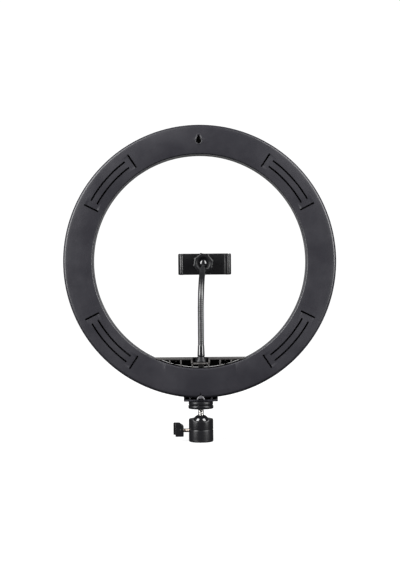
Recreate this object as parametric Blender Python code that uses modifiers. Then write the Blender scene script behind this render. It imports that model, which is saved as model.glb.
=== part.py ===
"""A 12-inch LED ring light on a miniature ball head, with a phone clip on a gooseneck.

Metres, +Z up. The origin is the centre of the ball head's underside, where it screws onto a light
stand. The back of the light faces -Y and it shines towards +Y. Ring profiles are given as
(radius, y), and every turned piece that stands upright as (radius, z).
"""

import math

import bmesh
import bpy
import numpy as np
from mathutils import Matrix, Vector

mm = 0.001
GAP = 0.3 * mm  # between two pieces that touch

# The ball head. Heights are from the underside of its housing.
BALL_R = 10.0 * mm
HEAD_R = BALL_R + 3.5 * mm
HEAD_TOP = 2.56 * BALL_R
BALL_Z = HEAD_TOP - 0.54 * BALL_R
HEAD_LIP_R = 0.9 * BALL_R
HEAD_BORE_R = HEAD_R - 2.9 * mm
CUP_TOP = BALL_Z - 0.4 * BALL_R
CUP_BOTTOM = BALL_Z - 1.28 * BALL_R
CUP_HOLE_R = 0.4 * BALL_R
PLUG_R = HEAD_R - 1.9 * mm
PLUG_TOP = 4.6 * mm
SOCKET_R = 3.3 * mm  # minor radius of the 1/4-inch thread
SOCKET_DEPTH = 4.0 * mm
CLAMP_Z = BALL_Z - 0.78 * BALL_R
CLAMP_R = 2.2 * mm
CLAMP_SHOWN = 5.7 * mm
KNOB_LENGTH = 11.3 * mm
KNOB_UP = 8.6 * mm
KNOB_DOWN = 6.9 * mm
KNOB_SLANT = 1.1 * mm
KNOB_THICK = 6.4 * mm
RUNNING = 0.27 * mm  # stud in a threaded piece

# The stud, and the wheel that locks the light on it.
STUD_R = 3.175 * mm  # 1/4-inch
STUD_FOOT = BALL_Z + 4.4 * mm
WHEEL_R = 13.9 * mm
WHEEL_TOP_R = WHEEL_R - 0.3 * mm
WHEEL_BOTTOM = HEAD_TOP + 10.7 * mm
WHEEL_TOP = WHEEL_BOTTOM + 8.1 * mm

# The foot that takes the stud.
FOOT_BOTTOM = WHEEL_TOP + GAP
FOOT_DROP = 3.6 * mm  # below the ring's lowest point
FOOT_HALF = 18.7 * mm
FOOT_PLATE = 2.2 * mm
FOOT_HALF_DEPTH = 9.0 * mm
FOOT_RIB_X = 11.8 * mm
FOOT_POCKET_FRONT = 3.8 * mm
INSERT_R = STUD_R + 1.2 * mm
INSERT_TOP = FOOT_BOTTOM + 5.7 * mm
STUD_TOP = INSERT_TOP - 1.6 * mm
FOOT_SCREW_X = 16.0 * mm
FOOT_SCREW_Y = 6.5 * mm
SUNK_HEAD_R = 2.2 * mm  # countersunk screw heads in the foot
SUNK_DEPTH = 1.4 * mm

# The ring.
RING_R = 150.0 * mm
HOLE_R = 117.2 * mm
RING_Z = FOOT_BOTTOM + FOOT_DROP + RING_R
RING_BACK = -13.0 * mm
RING_FRONT = 13.0 * mm
PARTING = 0.0 * mm
WALL = 2.0 * mm
BACK_CORNER_R = RING_R - 6.5 * mm  # the flat of the back ends here, and the outer round starts
BAND_R = (RING_R + HOLE_R) / 2
FLOOR_Y = 1.5 * mm  # back of the front frame's floor
DIFFUSER_Y = RING_FRONT - 3.4 * mm
DIFFUSER_THICK = 2.2 * mm
LED_BOARD_R = RING_R - 11.5 * mm
LED_BOARD_THICK = 1.2 * mm
FRAME_SCREW_R = RING_R - 7.5 * mm  # pitch radius
FRAME_SCREW_ANGLES = (18, 90, 162, 198, 252, 342)

# Vents: four louvred groups, each with two arc slots and two radial slots.
VENT_CENTRES = (41.5, 138.5, 221.5, 318.5)
VENT_ARC_RADII = (BAND_R - 5.5 * mm, BAND_R + 2.2 * mm)
VENT_HALF_SPAN = 11.6
VENT_SIDE_ANGLE = 14.9
VENT_SIDE_R = (BAND_R - 10.4 * mm, BAND_R + 6.9 * mm)
VENT_WIDTH = 1.5 * mm

# The hanging keyhole at the top.
KEYHOLE_R = BAND_R - 2.0 * mm
KEYHOLE_HEAD_R = 3.1 * mm
KEYHOLE_TIP_R = 1.1 * mm
KEYHOLE_RISE = 5.4 * mm

# The gooseneck.
NECK_X = 0.7 * mm
NECK_Y = -4.0 * mm
NECK_R = 3.4 * mm
NECK_TURN = math.radians(4.4)  # how far the bend leans from +Y towards +X
NECK_STRAIGHT = 29.5 * mm
NECK_BEND_R = 57.3 * mm
NECK_BEND = math.radians(55)
NECK_LINKS = 8
LINK_TURN = math.radians(15)  # the most that one link turns on the next
NECK_GAP = 2 * NECK_R * math.tan(LINK_TURN / 2) + GAP + 0.1 * mm
FERRULE_R = NECK_R + 1.0 * mm
FERRULE_LENGTH = 13.0 * mm
FLANGE_R = FERRULE_R + 3.0 * mm
SHANK_R = NECK_R - 0.2 * mm
TIP_LENGTH = 13.8 * mm
TIP_BORE_FLOOR = 5.0 * mm

# The shelf across the bottom of the hole.
SHELF_TOP = RING_Z - HOLE_R + 11.4 * mm
SHELF_PLATE = 1.8 * mm
SHELF_BACK = RING_BACK + 1.0 * mm
SHELF_FRONT = RING_FRONT - 1.0 * mm
RIB = 1.6 * mm
RIB_X = (0.1826 * HOLE_R, 0.2875 * HOLE_R)
OUTER_POCKET_X = 0.41 * HOLE_R
BOX_IN = FLANGE_R + NECK_X + 0.4 * mm  # half of the central box, inside
BAR_TOP = SHELF_TOP - 5.0 * mm
BAR = 1.8 * mm
FERRULE_BOTTOM = SHELF_TOP + 1.3 * mm
FERRULE_TOP = FERRULE_BOTTOM + FERRULE_LENGTH
NUT_THICK = 2.8 * mm
SHANK_BOTTOM = BAR_TOP - BAR - GAP - NUT_THICK - 0.8 * mm

# The phone clip, measured from its ball's centre.
CLIP_BALL_R = 6.0 * mm
TIP_TO_BALL = CLIP_BALL_R + 4.2 * mm
CLIP_STEM_R = 1.8 * mm
SEAT_CLEAR = 0.3 * mm
NUT_R = CLIP_BALL_R + 5.0 * mm
NUT_LOBE = 0.9 * mm
NUT_LOBES = 8
NUT_LIP = -0.567 * CLIP_BALL_R
NUT_BACK = -CLIP_BALL_R - 0.1 * mm
NUT_BORE_R = CLIP_BALL_R + 2.6 * mm
CLIP_BACK_Y = CLIP_BALL_R + 2.1 * mm
NUT_FRONT = CLIP_BACK_Y - 2.6 * mm
CLIP_COVER = 2.0 * mm
CLIP_DEPTH = 8.0 * mm
CLIP_HALF_H = 12.05 * mm
CLIP_LEFT = -28.6 * mm
CLIP_DROP = 0.9 * mm  # the middle of the clip below its ball
CLIP_WIDTH = 60.4 * mm
CLIP_RIGHT = CLIP_LEFT + CLIP_WIDTH
JAW = 3.0 * mm
JAW_REACH = 35.0 * mm
JAW_LIP = 3.4 * mm
CLIP_WALL = 1.6 * mm
TONGUE_THICK = 1.6 * mm
TONGUE_HALF = CLIP_HALF_H - 2.65 * mm
TONGUE_LENGTH = CLIP_WIDTH - 18.9 * mm
ROD_R = 1.0 * mm
ROD_Z = CLIP_HALF_H / 2
ROD_LENGTH = CLIP_WIDTH - 13.2 * mm
SPRING_R = 1.8 * mm
SPRING_WIRE = 0.25 * mm
SPRING_TURNS = 8
PAD = 1.2 * mm

RING_CENTRE = Vector((0, 0, RING_Z))
FACE_FRONT = Matrix.Rotation(math.radians(-90), 4, "X")  # a profile's height becomes +Y


# ---------------------------------------------------------------- scene and materials

for old in list(bpy.data.objects):
    bpy.data.objects.remove(old)

parts = bpy.data.collections.new("ring_light")
cutters = bpy.data.collections.new("cutters")
bpy.context.scene.collection.children.link(parts)
bpy.context.scene.collection.children.link(cutters)


def material(name, colour, roughness, metallic=0.0):
    """A Principled material with one colour."""
    made = bpy.data.materials.new(name)
    made.use_nodes = True
    shader = made.node_tree.nodes["Principled BSDF"]
    shader.inputs["Base Color"].default_value = (*colour, 1)
    shader.inputs["Roughness"].default_value = roughness
    shader.inputs["Metallic"].default_value = metallic
    made.diffuse_color = (*colour, 1)
    return made


SHELL_BLACK = material("shell_black", (0.030, 0.030, 0.034), 0.5)
GLOSS_BLACK = material("gloss_black", (0.010, 0.010, 0.011), 0.12)
SATIN_BLACK = material("satin_black", (0.016, 0.016, 0.018), 0.32, 0.6)
CLIP_BLACK = material("clip_black", (0.014, 0.014, 0.014), 0.42)
OPAL = material("opal", (0.86, 0.86, 0.84), 0.45)
WHITE_SHEET = material("white_sheet", (0.8, 0.8, 0.8), 0.6)
BOARD_WHITE = material("board_white", (0.75, 0.76, 0.74), 0.5)
BOARD_GREEN = material("board_green", (0.02, 0.12, 0.05), 0.4)
STEEL = material("steel", (0.62, 0.61, 0.60), 0.28, 1.0)
BRASS = material("brass", (0.70, 0.52, 0.25), 0.3, 1.0)
NYLON = material("nylon", (0.75, 0.73, 0.66), 0.45)
RUBBER = material("rubber", (0.02, 0.02, 0.02), 0.8)
COPPER_RED = material("lead_red", (0.35, 0.02, 0.02), 0.4)


# ---------------------------------------------------------------- building blocks


def place(name, mesh, mat, matrix=None):
    """An object in the parts collection, or a hidden cutter when it has no material."""
    obj = bpy.data.objects.new(name, mesh)
    if matrix is not None:
        obj.matrix_world = matrix
    if mat is None:
        cutters.objects.link(obj)
        obj.hide_render = True
        obj.display_type = "WIRE"
    else:
        parts.objects.link(obj)
        mesh.materials.append(mat)
    return obj


def turned(name, profile, mat, matrix=None, steps=24):
    """A solid of revolution about local Z from an outline of (radius, height).

    An outline that starts and ends on the axis stays open, and any other is closed to a ring.
    It runs down its outer side.
    """
    points = [(r, 0, h) for r, h in profile]
    on_axis = profile[0][0] == 0 and profile[-1][0] == 0
    count = len(points)
    edges = [(i, i + 1) for i in range(count - 1)]
    if not on_axis:
        edges.append((count - 1, 0))
    mesh = bpy.data.meshes.new(name)
    mesh.from_pydata(points, edges, [])
    obj = place(name, mesh, mat, matrix)
    screw = obj.modifiers.new("turn", "SCREW")
    screw.steps = steps
    screw.render_steps = steps
    screw.use_merge_vertices = True
    screw.merge_threshold = 0.00001
    screw.use_smooth_shade = True
    return obj


def prism(name, outline, low, high, mat, matrix=None):
    """A flat outline of (x, y), counter-clockwise, extruded along local Z from low to high."""
    bm = bmesh.new()
    face = bm.faces.new([bm.verts.new((x, y, low)) for x, y in outline])
    bm.normal_update()
    raised = bmesh.ops.extrude_face_region(bm, geom=[face])["geom"]
    moved = [v for v in raised if isinstance(v, bmesh.types.BMVert)]
    bmesh.ops.translate(bm, verts=moved, vec=(0, 0, high - low))
    bmesh.ops.recalc_face_normals(bm, faces=bm.faces)
    mesh = bpy.data.meshes.new(name)
    bm.to_mesh(mesh)
    bm.free()
    return place(name, mesh, mat, matrix)


def box(name, low, high, mat):
    """An axis-aligned box between two corners."""
    bm = bmesh.new()
    bmesh.ops.create_cube(bm, size=1)
    low, high = Vector(low), Vector(high)
    size = high - low
    for v in bm.verts:
        v.co = Vector([v.co[i] * size[i] for i in range(3)]) + (low + high) / 2
    mesh = bpy.data.meshes.new(name)
    bm.to_mesh(mesh)
    bm.free()
    return place(name, mesh, mat)


def rod(name, start, end, radius, mat, sides=20):
    """A plain cylinder from one point to another."""
    start, end = Vector(start), Vector(end)
    along = end - start
    turn = along.to_track_quat("Z", "Y").to_matrix().to_4x4()
    outline = circle(radius, sides)
    return prism(name, outline, 0, along.length, mat, Matrix.Translation(start) @ turn)


def circle(radius, sides, centre=(0, 0)):
    """Points round a circle, counter-clockwise."""
    turn = np.linspace(0, 2 * math.pi, sides, endpoint=False)
    return [(centre[0] + radius * math.cos(a), centre[1] + radius * math.sin(a)) for a in turn]


def arc(radius, start, end, count, centre=(0, 0)):
    """Points along an arc between two angles in degrees."""
    turn = np.radians(np.linspace(start, end, count))
    return [(centre[0] + radius * math.cos(a), centre[1] + radius * math.sin(a)) for a in turn]


def boolean(obj, operation, other):
    """Cuts, joins or meets an object with another, exactly."""
    step = obj.modifiers.new(operation.lower(), "BOOLEAN")
    step.operation = operation
    step.solver = "EXACT"
    step.object = other


def bevel(obj, width, segments=1, angle=40):
    """Rounds the edges sharper than an angle in degrees."""
    step = obj.modifiers.new("bevel", "BEVEL")
    step.width = width
    step.segments = segments
    step.limit_method = "ANGLE"
    step.angle_limit = math.radians(angle)


def tube(name, points, radius, mat, resolution=2):
    """A round wire through a list of points, with capped ends."""
    curve = bpy.data.curves.new(name, "CURVE")
    curve.dimensions = "3D"
    curve.bevel_depth = radius
    curve.bevel_resolution = resolution
    curve.use_fill_caps = True
    spline = curve.splines.new("POLY")
    spline.points.add(len(points) - 1)
    for slot, point in zip(spline.points, points):
        slot.co = (*point, 1)
    return place(name, curve, mat)


def pan_screw(name, shank_r, length, head_r, matrix):
    """A screw whose head stands on local Z = 0, with its shank going down from there."""
    head = 0.6 * head_r
    turned(
        name,
        [
            (0, head),
            (head_r - 0.5 * mm, head),
            (head_r, head - 0.5 * mm),
            (head_r, 0),
            (shank_r, 0),
            (shank_r, 0.6 * mm - length),
            (0, -length),
        ],
        STEEL,
        matrix,
        10,
    )


def ring_place():
    """Turns a profile's height to +Y and centres it on the ring."""
    return Matrix.Translation(RING_CENTRE) @ FACE_FRONT


def on_ring(radius, degrees, y):
    """A point on the ring, from its radius and the angle above +X."""
    turn = math.radians(degrees)
    return Vector((radius * math.cos(turn), y, RING_Z + radius * math.sin(turn)))


# ---------------------------------------------------------------- ring: shells

RING_STEPS = 60

OUTER_ROUND = (
    (RING_R, PARTING),
    (RING_R - 0.4 * mm, 0.385 * RING_BACK),
    (RING_R - 1.8 * mm, 0.73 * RING_BACK),
    (RING_R - 4.0 * mm, 0.94 * RING_BACK),
    (BACK_CORNER_R, RING_BACK),
)

rear_shell = turned(
    "rear_shell",
    [
        *[(r, y) for r, y in reversed(OUTER_ROUND)],
        (RING_R - WALL, PARTING),
        (RING_R - WALL - 0.6 * mm, 0.385 * RING_BACK),
        (RING_R - WALL - 2.0 * mm, 0.69 * RING_BACK),
        (BACK_CORNER_R - 0.5 * mm, RING_BACK + WALL),
        (HOLE_R + WALL + 1.2 * mm, RING_BACK + WALL),
        (HOLE_R + WALL, RING_BACK + WALL + 1.2 * mm),
        (HOLE_R + WALL, PARTING),
        (HOLE_R, PARTING),
        (HOLE_R, RING_BACK + 1.4 * mm),
        (HOLE_R + 1.4 * mm, RING_BACK),
    ][::-1],
    SHELL_BLACK,
    ring_place(),
    RING_STEPS,
)

FRAME_BACK = PARTING + GAP
FLOOR_FRONT = FLOOR_Y + WALL
LEDGE_Y = DIFFUSER_Y - GAP
LEDGE = 1.2 * mm
front_frame = turned(
    "front_frame",
    [
        (RING_R, RING_FRONT),
        (RING_R, FRAME_BACK),
        (RING_R - WALL, FRAME_BACK),
        (RING_R - WALL, FLOOR_Y),
        (HOLE_R + WALL, FLOOR_Y),
        (HOLE_R + WALL, FRAME_BACK),
        (HOLE_R, FRAME_BACK),
        (HOLE_R, RING_FRONT),
        (HOLE_R + WALL, RING_FRONT),
        (HOLE_R + WALL, LEDGE_Y),
        (HOLE_R + WALL + LEDGE, LEDGE_Y),
        (HOLE_R + WALL + LEDGE, FLOOR_FRONT),
        (RING_R - WALL - LEDGE, FLOOR_FRONT),
        (RING_R - WALL - LEDGE, LEDGE_Y),
        (RING_R - WALL, LEDGE_Y),
        (RING_R - WALL, RING_FRONT),
    ],
    SHELL_BLACK,
    ring_place(),
    RING_STEPS,
)

DIFFUSER_IN = HOLE_R + WALL + GAP
DIFFUSER_OUT = RING_R - WALL - GAP
turned(
    "diffuser",
    [
        (DIFFUSER_OUT, DIFFUSER_Y + DIFFUSER_THICK),
        (DIFFUSER_OUT, DIFFUSER_Y),
        (DIFFUSER_IN, DIFFUSER_Y),
        (DIFFUSER_IN, DIFFUSER_Y + DIFFUSER_THICK),
    ],
    OPAL,
    ring_place(),
    RING_STEPS,
)

BOARD_Y = FLOOR_FRONT + GAP
BOARD_IN = HOLE_R + WALL + LEDGE + 1.0 * mm
turned(
    "led_board",
    [
        (LED_BOARD_R, BOARD_Y + LED_BOARD_THICK),
        (LED_BOARD_R, BOARD_Y),
        (BOARD_IN, BOARD_Y),
        (BOARD_IN, BOARD_Y + LED_BOARD_THICK),
    ],
    BOARD_WHITE,
    ring_place(),
    40,
)

SHEET_Y = BOARD_Y + LED_BOARD_THICK + GAP
turned(
    "reflector_sheet",
    [
        (LED_BOARD_R - 0.5 * mm, SHEET_Y + 0.5 * mm),
        (LED_BOARD_R - 0.5 * mm, SHEET_Y),
        (BOARD_IN + 0.5 * mm, SHEET_Y),
        (BOARD_IN + 0.5 * mm, SHEET_Y + 0.5 * mm),
    ],
    WHITE_SHEET,
    ring_place(),
    40,
)

# Vents. An arc slot is cut by a bent bar, and a radial one by a straight bar.
CUT_BACK = RING_BACK - 1.0 * mm
CUT_FRONT = RING_BACK + WALL + 0.6 * mm
STAND_ON_RING = Matrix.Translation(RING_CENTRE) @ Matrix.Rotation(math.radians(90), 4, "X")


def ring_prism(name, outline, back, front, mat=None):
    """A prism whose outline lies in the ring's plane (x, height above the centre)."""
    return prism(name, outline, -front, -back, mat, STAND_ON_RING)


def rounded_bar(start, end, width):
    """The outline of a straight slot with round ends."""
    start, end = np.array(start), np.array(end)
    along = math.degrees(math.atan2(*(end - start)[::-1]))
    return [
        *arc(width / 2, along - 90, along + 90, 5, end),
        *arc(width / 2, along + 90, along + 270, 5, start),
    ]


def cut_vents():
    """Takes every slot of the four groups out of the rear shell."""
    half = VENT_WIDTH / 2
    number = 0
    for centre in VENT_CENTRES:
        outlines = []
        for radius in VENT_ARC_RADII:
            low, high = centre - VENT_HALF_SPAN, centre + VENT_HALF_SPAN
            end_low = [radius * f(math.radians(low)) for f in (math.cos, math.sin)]
            end_high = [radius * f(math.radians(high)) for f in (math.cos, math.sin)]
            outlines.append(
                [
                    *arc(radius + half, low, high, 7),
                    *arc(half, high, high + 180, 5, end_high)[1:-1],
                    *arc(radius - half, high, low, 7),
                    *arc(half, low + 180, low + 360, 5, end_low)[1:-1],
                ]
            )
        for side in (-VENT_SIDE_ANGLE, VENT_SIDE_ANGLE):
            turn = math.radians(centre + side)
            across = np.array([math.cos(turn), math.sin(turn)])
            inner, outer = VENT_SIDE_R
            outlines.append(rounded_bar(across * (inner + half), across * (outer - half), VENT_WIDTH))
        for outline in outlines:
            number += 1
            slot = ring_prism(f"cut_vent_{number}", outline, CUT_BACK, CUT_FRONT)
            boolean(rear_shell, "DIFFERENCE", slot)


cut_vents()

keyhole = ring_prism(
    "cut_keyhole",
    [
        *arc(KEYHOLE_HEAD_R, 165, 375, 13, (0, KEYHOLE_R)),
        *arc(KEYHOLE_TIP_R, 15, 165, 7, (0, KEYHOLE_R + KEYHOLE_RISE)),
    ],
    CUT_BACK,
    CUT_FRONT,
)
boolean(rear_shell, "DIFFERENCE", keyhole)

# Screw bosses in the rear shell, and the screws that come through the front frame's floor.
SCREW_R = 1.2 * mm
BOSS_R = 2.9 * mm
BOSS_BACK = RING_BACK + WALL / 2
BOSS_FRONT = FLOOR_Y - GAP
for number, angle in enumerate(FRAME_SCREW_ANGLES, 1):
    boss = rod(
        f"cut_boss_{number}",
        on_ring(FRAME_SCREW_R, angle, BOSS_BACK),
        on_ring(FRAME_SCREW_R, angle, BOSS_FRONT),
        BOSS_R,
        None,
        12,
    )
    boolean(rear_shell, "UNION", boss)
    pilot = rod(
        f"cut_pilot_{number}",
        on_ring(FRAME_SCREW_R, angle, BOSS_BACK + 1.6 * mm),
        on_ring(FRAME_SCREW_R, angle, FLOOR_FRONT + 1.0 * mm),
        SCREW_R + GAP,
        None,
        10,
    )
    boolean(rear_shell, "DIFFERENCE", pilot)
    boolean(front_frame, "DIFFERENCE", pilot)
    seat = Matrix.Translation(on_ring(FRAME_SCREW_R, angle, FLOOR_FRONT + GAP))
    pan_screw(f"frame_screw_{number}", SCREW_R, 9.6 * mm, 2.2 * mm, seat @ FACE_FRONT)

# ---------------------------------------------------------------- ring: electronics

CONTROL_Z = RING_Z - BAND_R + 1.3 * mm
CONTROL_HALF = (22.0 * mm, 9.0 * mm)
CONTROL_BACK = RING_BACK + WALL + 3.8 * mm
CONTROL_THICK = 1.4 * mm
POST_X = 17.0 * mm
POST_R = 2.4 * mm
BOARD_SCREW_R = 0.9 * mm
control_board = box(
    "control_board",
    (-CONTROL_HALF[0], CONTROL_BACK, CONTROL_Z - CONTROL_HALF[1]),
    (CONTROL_HALF[0], CONTROL_BACK + CONTROL_THICK, CONTROL_Z + CONTROL_HALF[1]),
    BOARD_GREEN,
)
for side, x in (("left", -POST_X), ("right", POST_X)):
    post = rod(
        f"cut_post_{side}",
        (x, RING_BACK + WALL / 2, CONTROL_Z),
        (x, CONTROL_BACK - GAP, CONTROL_Z),
        POST_R,
        None,
        12,
    )
    boolean(rear_shell, "UNION", post)
    pilot = rod(
        f"cut_post_pilot_{side}",
        (x, RING_BACK + WALL, CONTROL_Z),
        (x, CONTROL_BACK + 4.0 * mm, CONTROL_Z),
        BOARD_SCREW_R + GAP,
        None,
        10,
    )
    boolean(rear_shell, "DIFFERENCE", pilot)
    boolean(control_board, "DIFFERENCE", pilot)
    seat = Matrix.Translation((x, CONTROL_BACK + CONTROL_THICK + GAP, CONTROL_Z))
    pan_screw(f"board_screw_{side}", BOARD_SCREW_R, 5.0 * mm, 1.9 * mm, seat @ FACE_FRONT)

# The power socket, let into the rear shell's outer wall beside the foot.
INLET_ANGLE = -74
INLET_Y = -4.2 * mm
INLET_R = 3.2 * mm
INLET_LENGTH = 11.0 * mm
inlet_across = Vector((math.cos(math.radians(INLET_ANGLE)), 0, math.sin(math.radians(INLET_ANGLE))))
INLET_MOUTH_R = RING_R - 1.2 * mm
inlet_turn = inlet_across.to_track_quat("Z", "Y").to_matrix().to_4x4()
turned(
    "power_inlet",
    [
        (INLET_R, 0),
        (INLET_R, -INLET_LENGTH),
        (0, -INLET_LENGTH),
        (0, -INLET_LENGTH + 1.5 * mm),
        (2.0 * mm, -INLET_LENGTH + 1.5 * mm),
        (2.0 * mm, 0),
    ],
    GLOSS_BLACK,
    Matrix.Translation(on_ring(INLET_MOUTH_R, INLET_ANGLE, INLET_Y)) @ inlet_turn,
    16,
)
inlet_hole = rod(
    "cut_inlet",
    on_ring(RING_R - 6.0 * mm, INLET_ANGLE, INLET_Y),
    on_ring(RING_R + 2.0 * mm, INLET_ANGLE, INLET_Y),
    INLET_R + GAP,
    None,
    16,
)
boolean(rear_shell, "DIFFERENCE", inlet_hole)

inlet_end = on_ring(INLET_MOUTH_R - INLET_LENGTH - GAP, INLET_ANGLE, INLET_Y)
LEAD_R = 1.1 * mm
tube(
    "power_lead",
    [
        inlet_end,
        inlet_end - inlet_across * 2.0 * mm,
        inlet_end - inlet_across * 4.0 * mm + Vector((-2.0 * mm, 0.4 * mm, 0)),
        (CONTROL_HALF[0] + 5.0 * mm, INLET_Y - 0.2 * mm, CONTROL_Z + 2.0 * mm),
        (CONTROL_HALF[0] + GAP + 0.1 * mm, INLET_Y - 0.6 * mm, CONTROL_Z),
    ],
    LEAD_R,
    COPPER_RED,
    1,
)
LED_LEAD = (8.0 * mm, CONTROL_Z + 4.0 * mm)
lead_back = CONTROL_BACK + CONTROL_THICK + GAP
tube(
    "led_lead",
    [
        (LED_LEAD[0], lead_back, LED_LEAD[1] - 3.0 * mm),
        (LED_LEAD[0], lead_back + 2.0 * mm, LED_LEAD[1] - 2.6 * mm),
        (LED_LEAD[0], lead_back + 4.0 * mm, LED_LEAD[1] - 0.8 * mm),
        (LED_LEAD[0], lead_back + 6.0 * mm, LED_LEAD[1]),
        (LED_LEAD[0], BOARD_Y - GAP, LED_LEAD[1]),
    ],
    LEAD_R,
    COPPER_RED,
    1,
)
lead_hole = rod(
    "cut_lead_hole",
    (LED_LEAD[0], FLOOR_Y - 1.0 * mm, LED_LEAD[1]),
    (LED_LEAD[0], FLOOR_FRONT + 1.0 * mm, LED_LEAD[1]),
    LEAD_R + 0.8 * mm,
    None,
    12,
)
boolean(front_frame, "DIFFERENCE", lead_hole)

# ---------------------------------------------------------------- ring: shelf

SHELF_DROP = RING_Z - SHELF_TOP
SHELF_R = HOLE_R - GAP
shelf_edge = math.degrees(math.asin(SHELF_DROP / SHELF_R))
phone_shelf = ring_prism(
    "phone_shelf",
    arc(SHELF_R, 180 + shelf_edge, 360 - shelf_edge, 25),
    SHELF_BACK,
    SHELF_FRONT,
    SHELL_BLACK,
)


def shelf_pocket(name, low_x, high_x, top, bottom=RING_Z - RING_R):
    """Cuts one pocket from the back, up to a given height."""
    low = (low_x, SHELF_BACK - 1.0 * mm, bottom)
    high = (high_x, SHELF_FRONT - RIB, top)
    boolean(phone_shelf, "DIFFERENCE", box(name, low, high, None))


PLATE_UNDER = SHELF_TOP - SHELF_PLATE
walls = [BOX_IN + RIB / 2, *RIB_X, OUTER_POCKET_X + RIB / 2]
for number, (near, far) in enumerate(zip(walls, walls[1:]), 1):
    low_x, high_x = near + RIB / 2, far - RIB / 2
    shelf_pocket(f"cut_pocket_right_{number}", low_x, high_x, PLATE_UNDER)
    shelf_pocket(f"cut_pocket_left_{number}", -high_x, -low_x, PLATE_UNDER)
shelf_pocket("cut_box_lower", -BOX_IN, BOX_IN, BAR_TOP - BAR)
box_notch = prism(
    "cut_box_upper",
    [
        *arc(BOX_IN, 0, 180, 13, (0, NECK_Y)),
        (-BOX_IN, SHELF_BACK - 1.0 * mm),
        (BOX_IN, SHELF_BACK - 1.0 * mm),
    ],
    BAR_TOP,
    SHELF_TOP + 1.0 * mm,
    None,
)
boolean(phone_shelf, "DIFFERENCE", box_notch)
neck_hole = rod(
    "cut_neck_hole",
    (NECK_X, NECK_Y, BAR_TOP - BAR - 1.0 * mm),
    (NECK_X, NECK_Y, BAR_TOP + 1.0 * mm),
    SHANK_R + GAP,
    None,
    16,
)
boolean(phone_shelf, "DIFFERENCE", neck_hole)

# Two screws hold the shelf to the front frame's inner wall.
SHELF_SCREW_ANGLES = (-104, -76)
SHELF_SCREW_Y = 6.6 * mm
LUG_R = 4.2 * mm
LUG_HEIGHT = 3.0 * mm
SHELF_SEAT_R = SHELF_R - LUG_HEIGHT
for side, angle in zip(("left", "right"), SHELF_SCREW_ANGLES):
    across = Vector((math.cos(math.radians(angle)), 0, math.sin(math.radians(angle))))
    lug = rod(
        f"cut_lug_{side}",
        on_ring(SHELF_SEAT_R, angle, SHELF_SCREW_Y),
        on_ring(SHELF_R - 0.2 * mm, angle, SHELF_SCREW_Y),
        LUG_R,
        None,
        16,
    )
    boolean(phone_shelf, "UNION", lug)
    pilot = rod(
        f"cut_shelf_pilot_{side}",
        on_ring(SHELF_SEAT_R - 1.0 * mm, angle, SHELF_SCREW_Y),
        on_ring(HOLE_R + WALL + LEDGE + 1.0 * mm, angle, SHELF_SCREW_Y),
        SCREW_R + GAP,
        None,
        12,
    )
    boolean(phone_shelf, "DIFFERENCE", pilot)
    boolean(front_frame, "DIFFERENCE", pilot)
    inward = (-across).to_track_quat("Z", "Y").to_matrix().to_4x4()
    seat = Matrix.Translation(on_ring(SHELF_SEAT_R - GAP, angle, SHELF_SCREW_Y))
    pan_screw(f"shelf_screw_{side}", SCREW_R, 6.0 * mm, 2.3 * mm, seat @ inward)

# ---------------------------------------------------------------- ring: foot

foot_bracket = box(
    "foot_bracket",
    (-FOOT_HALF, -FOOT_HALF_DEPTH, FOOT_BOTTOM),
    (FOOT_HALF, FOOT_HALF_DEPTH, INSERT_TOP + 4.0 * mm),
    SHELL_BLACK,
)
ring_room = turned(
    "cut_ring_room",
    [
        (0, RING_FRONT + 5.0 * mm),
        (RING_R + GAP, RING_FRONT + 5.0 * mm),
        *[(r + GAP, y) for r, y in OUTER_ROUND],
        (BACK_CORNER_R, RING_BACK - GAP),
        (0, RING_BACK - GAP),
    ],
    None,
    ring_place(),
    RING_STEPS,
)
boolean(foot_bracket, "DIFFERENCE", ring_room)
FOOT_FLOOR = FOOT_BOTTOM + FOOT_PLATE
FOOT_SIDE = 1.3 * mm
foot_cells = (
    (FOOT_RIB_X + RIB / 2, FOOT_HALF - FOOT_SIDE),
    (-FOOT_RIB_X + RIB / 2, FOOT_RIB_X - RIB / 2),
    (-FOOT_HALF + FOOT_SIDE, -FOOT_RIB_X - RIB / 2),
)
for number, (low_x, high_x) in enumerate(foot_cells, 1):
    low = (low_x, -FOOT_HALF_DEPTH - 1.0 * mm, FOOT_FLOOR)
    cell = box(f"cut_foot_cell_{number}", low, (high_x, FOOT_POCKET_FRONT, RING_Z), None)
    boolean(foot_bracket, "DIFFERENCE", cell)
insert_hole = rod(
    "cut_insert_hole",
    (0, 0, FOOT_BOTTOM - 1.0 * mm),
    (0, 0, INSERT_TOP + GAP),
    INSERT_R + GAP,
    None,
    24,
)
boolean(foot_bracket, "DIFFERENCE", insert_hole)
insert_room = rod(
    "cut_insert_room",
    (0, 0, FOOT_FLOOR),
    (0, 0, INSERT_TOP + 1.6 * mm),
    INSERT_R + 1.0 * mm,
    None,
    24,
)
boolean(rear_shell, "DIFFERENCE", insert_room)
boolean(front_frame, "DIFFERENCE", insert_room)
DOME = 1.6 * mm
turned(
    "foot_insert",
    [
        (0, INSERT_TOP),
        (INSERT_R * 0.5, INSERT_TOP - DOME * 0.25),
        (INSERT_R * 0.87, INSERT_TOP - DOME * 0.7),
        (INSERT_R, INSERT_TOP - DOME * 1.5),
        (INSERT_R, FOOT_BOTTOM + 0.1 * mm),
        (STUD_R + RUNNING, FOOT_BOTTOM + 0.1 * mm),
        (STUD_R + RUNNING, STUD_TOP + GAP),
        (0, STUD_TOP + GAP),
    ],
    SATIN_BLACK,
    None,
    24,
)
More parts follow.
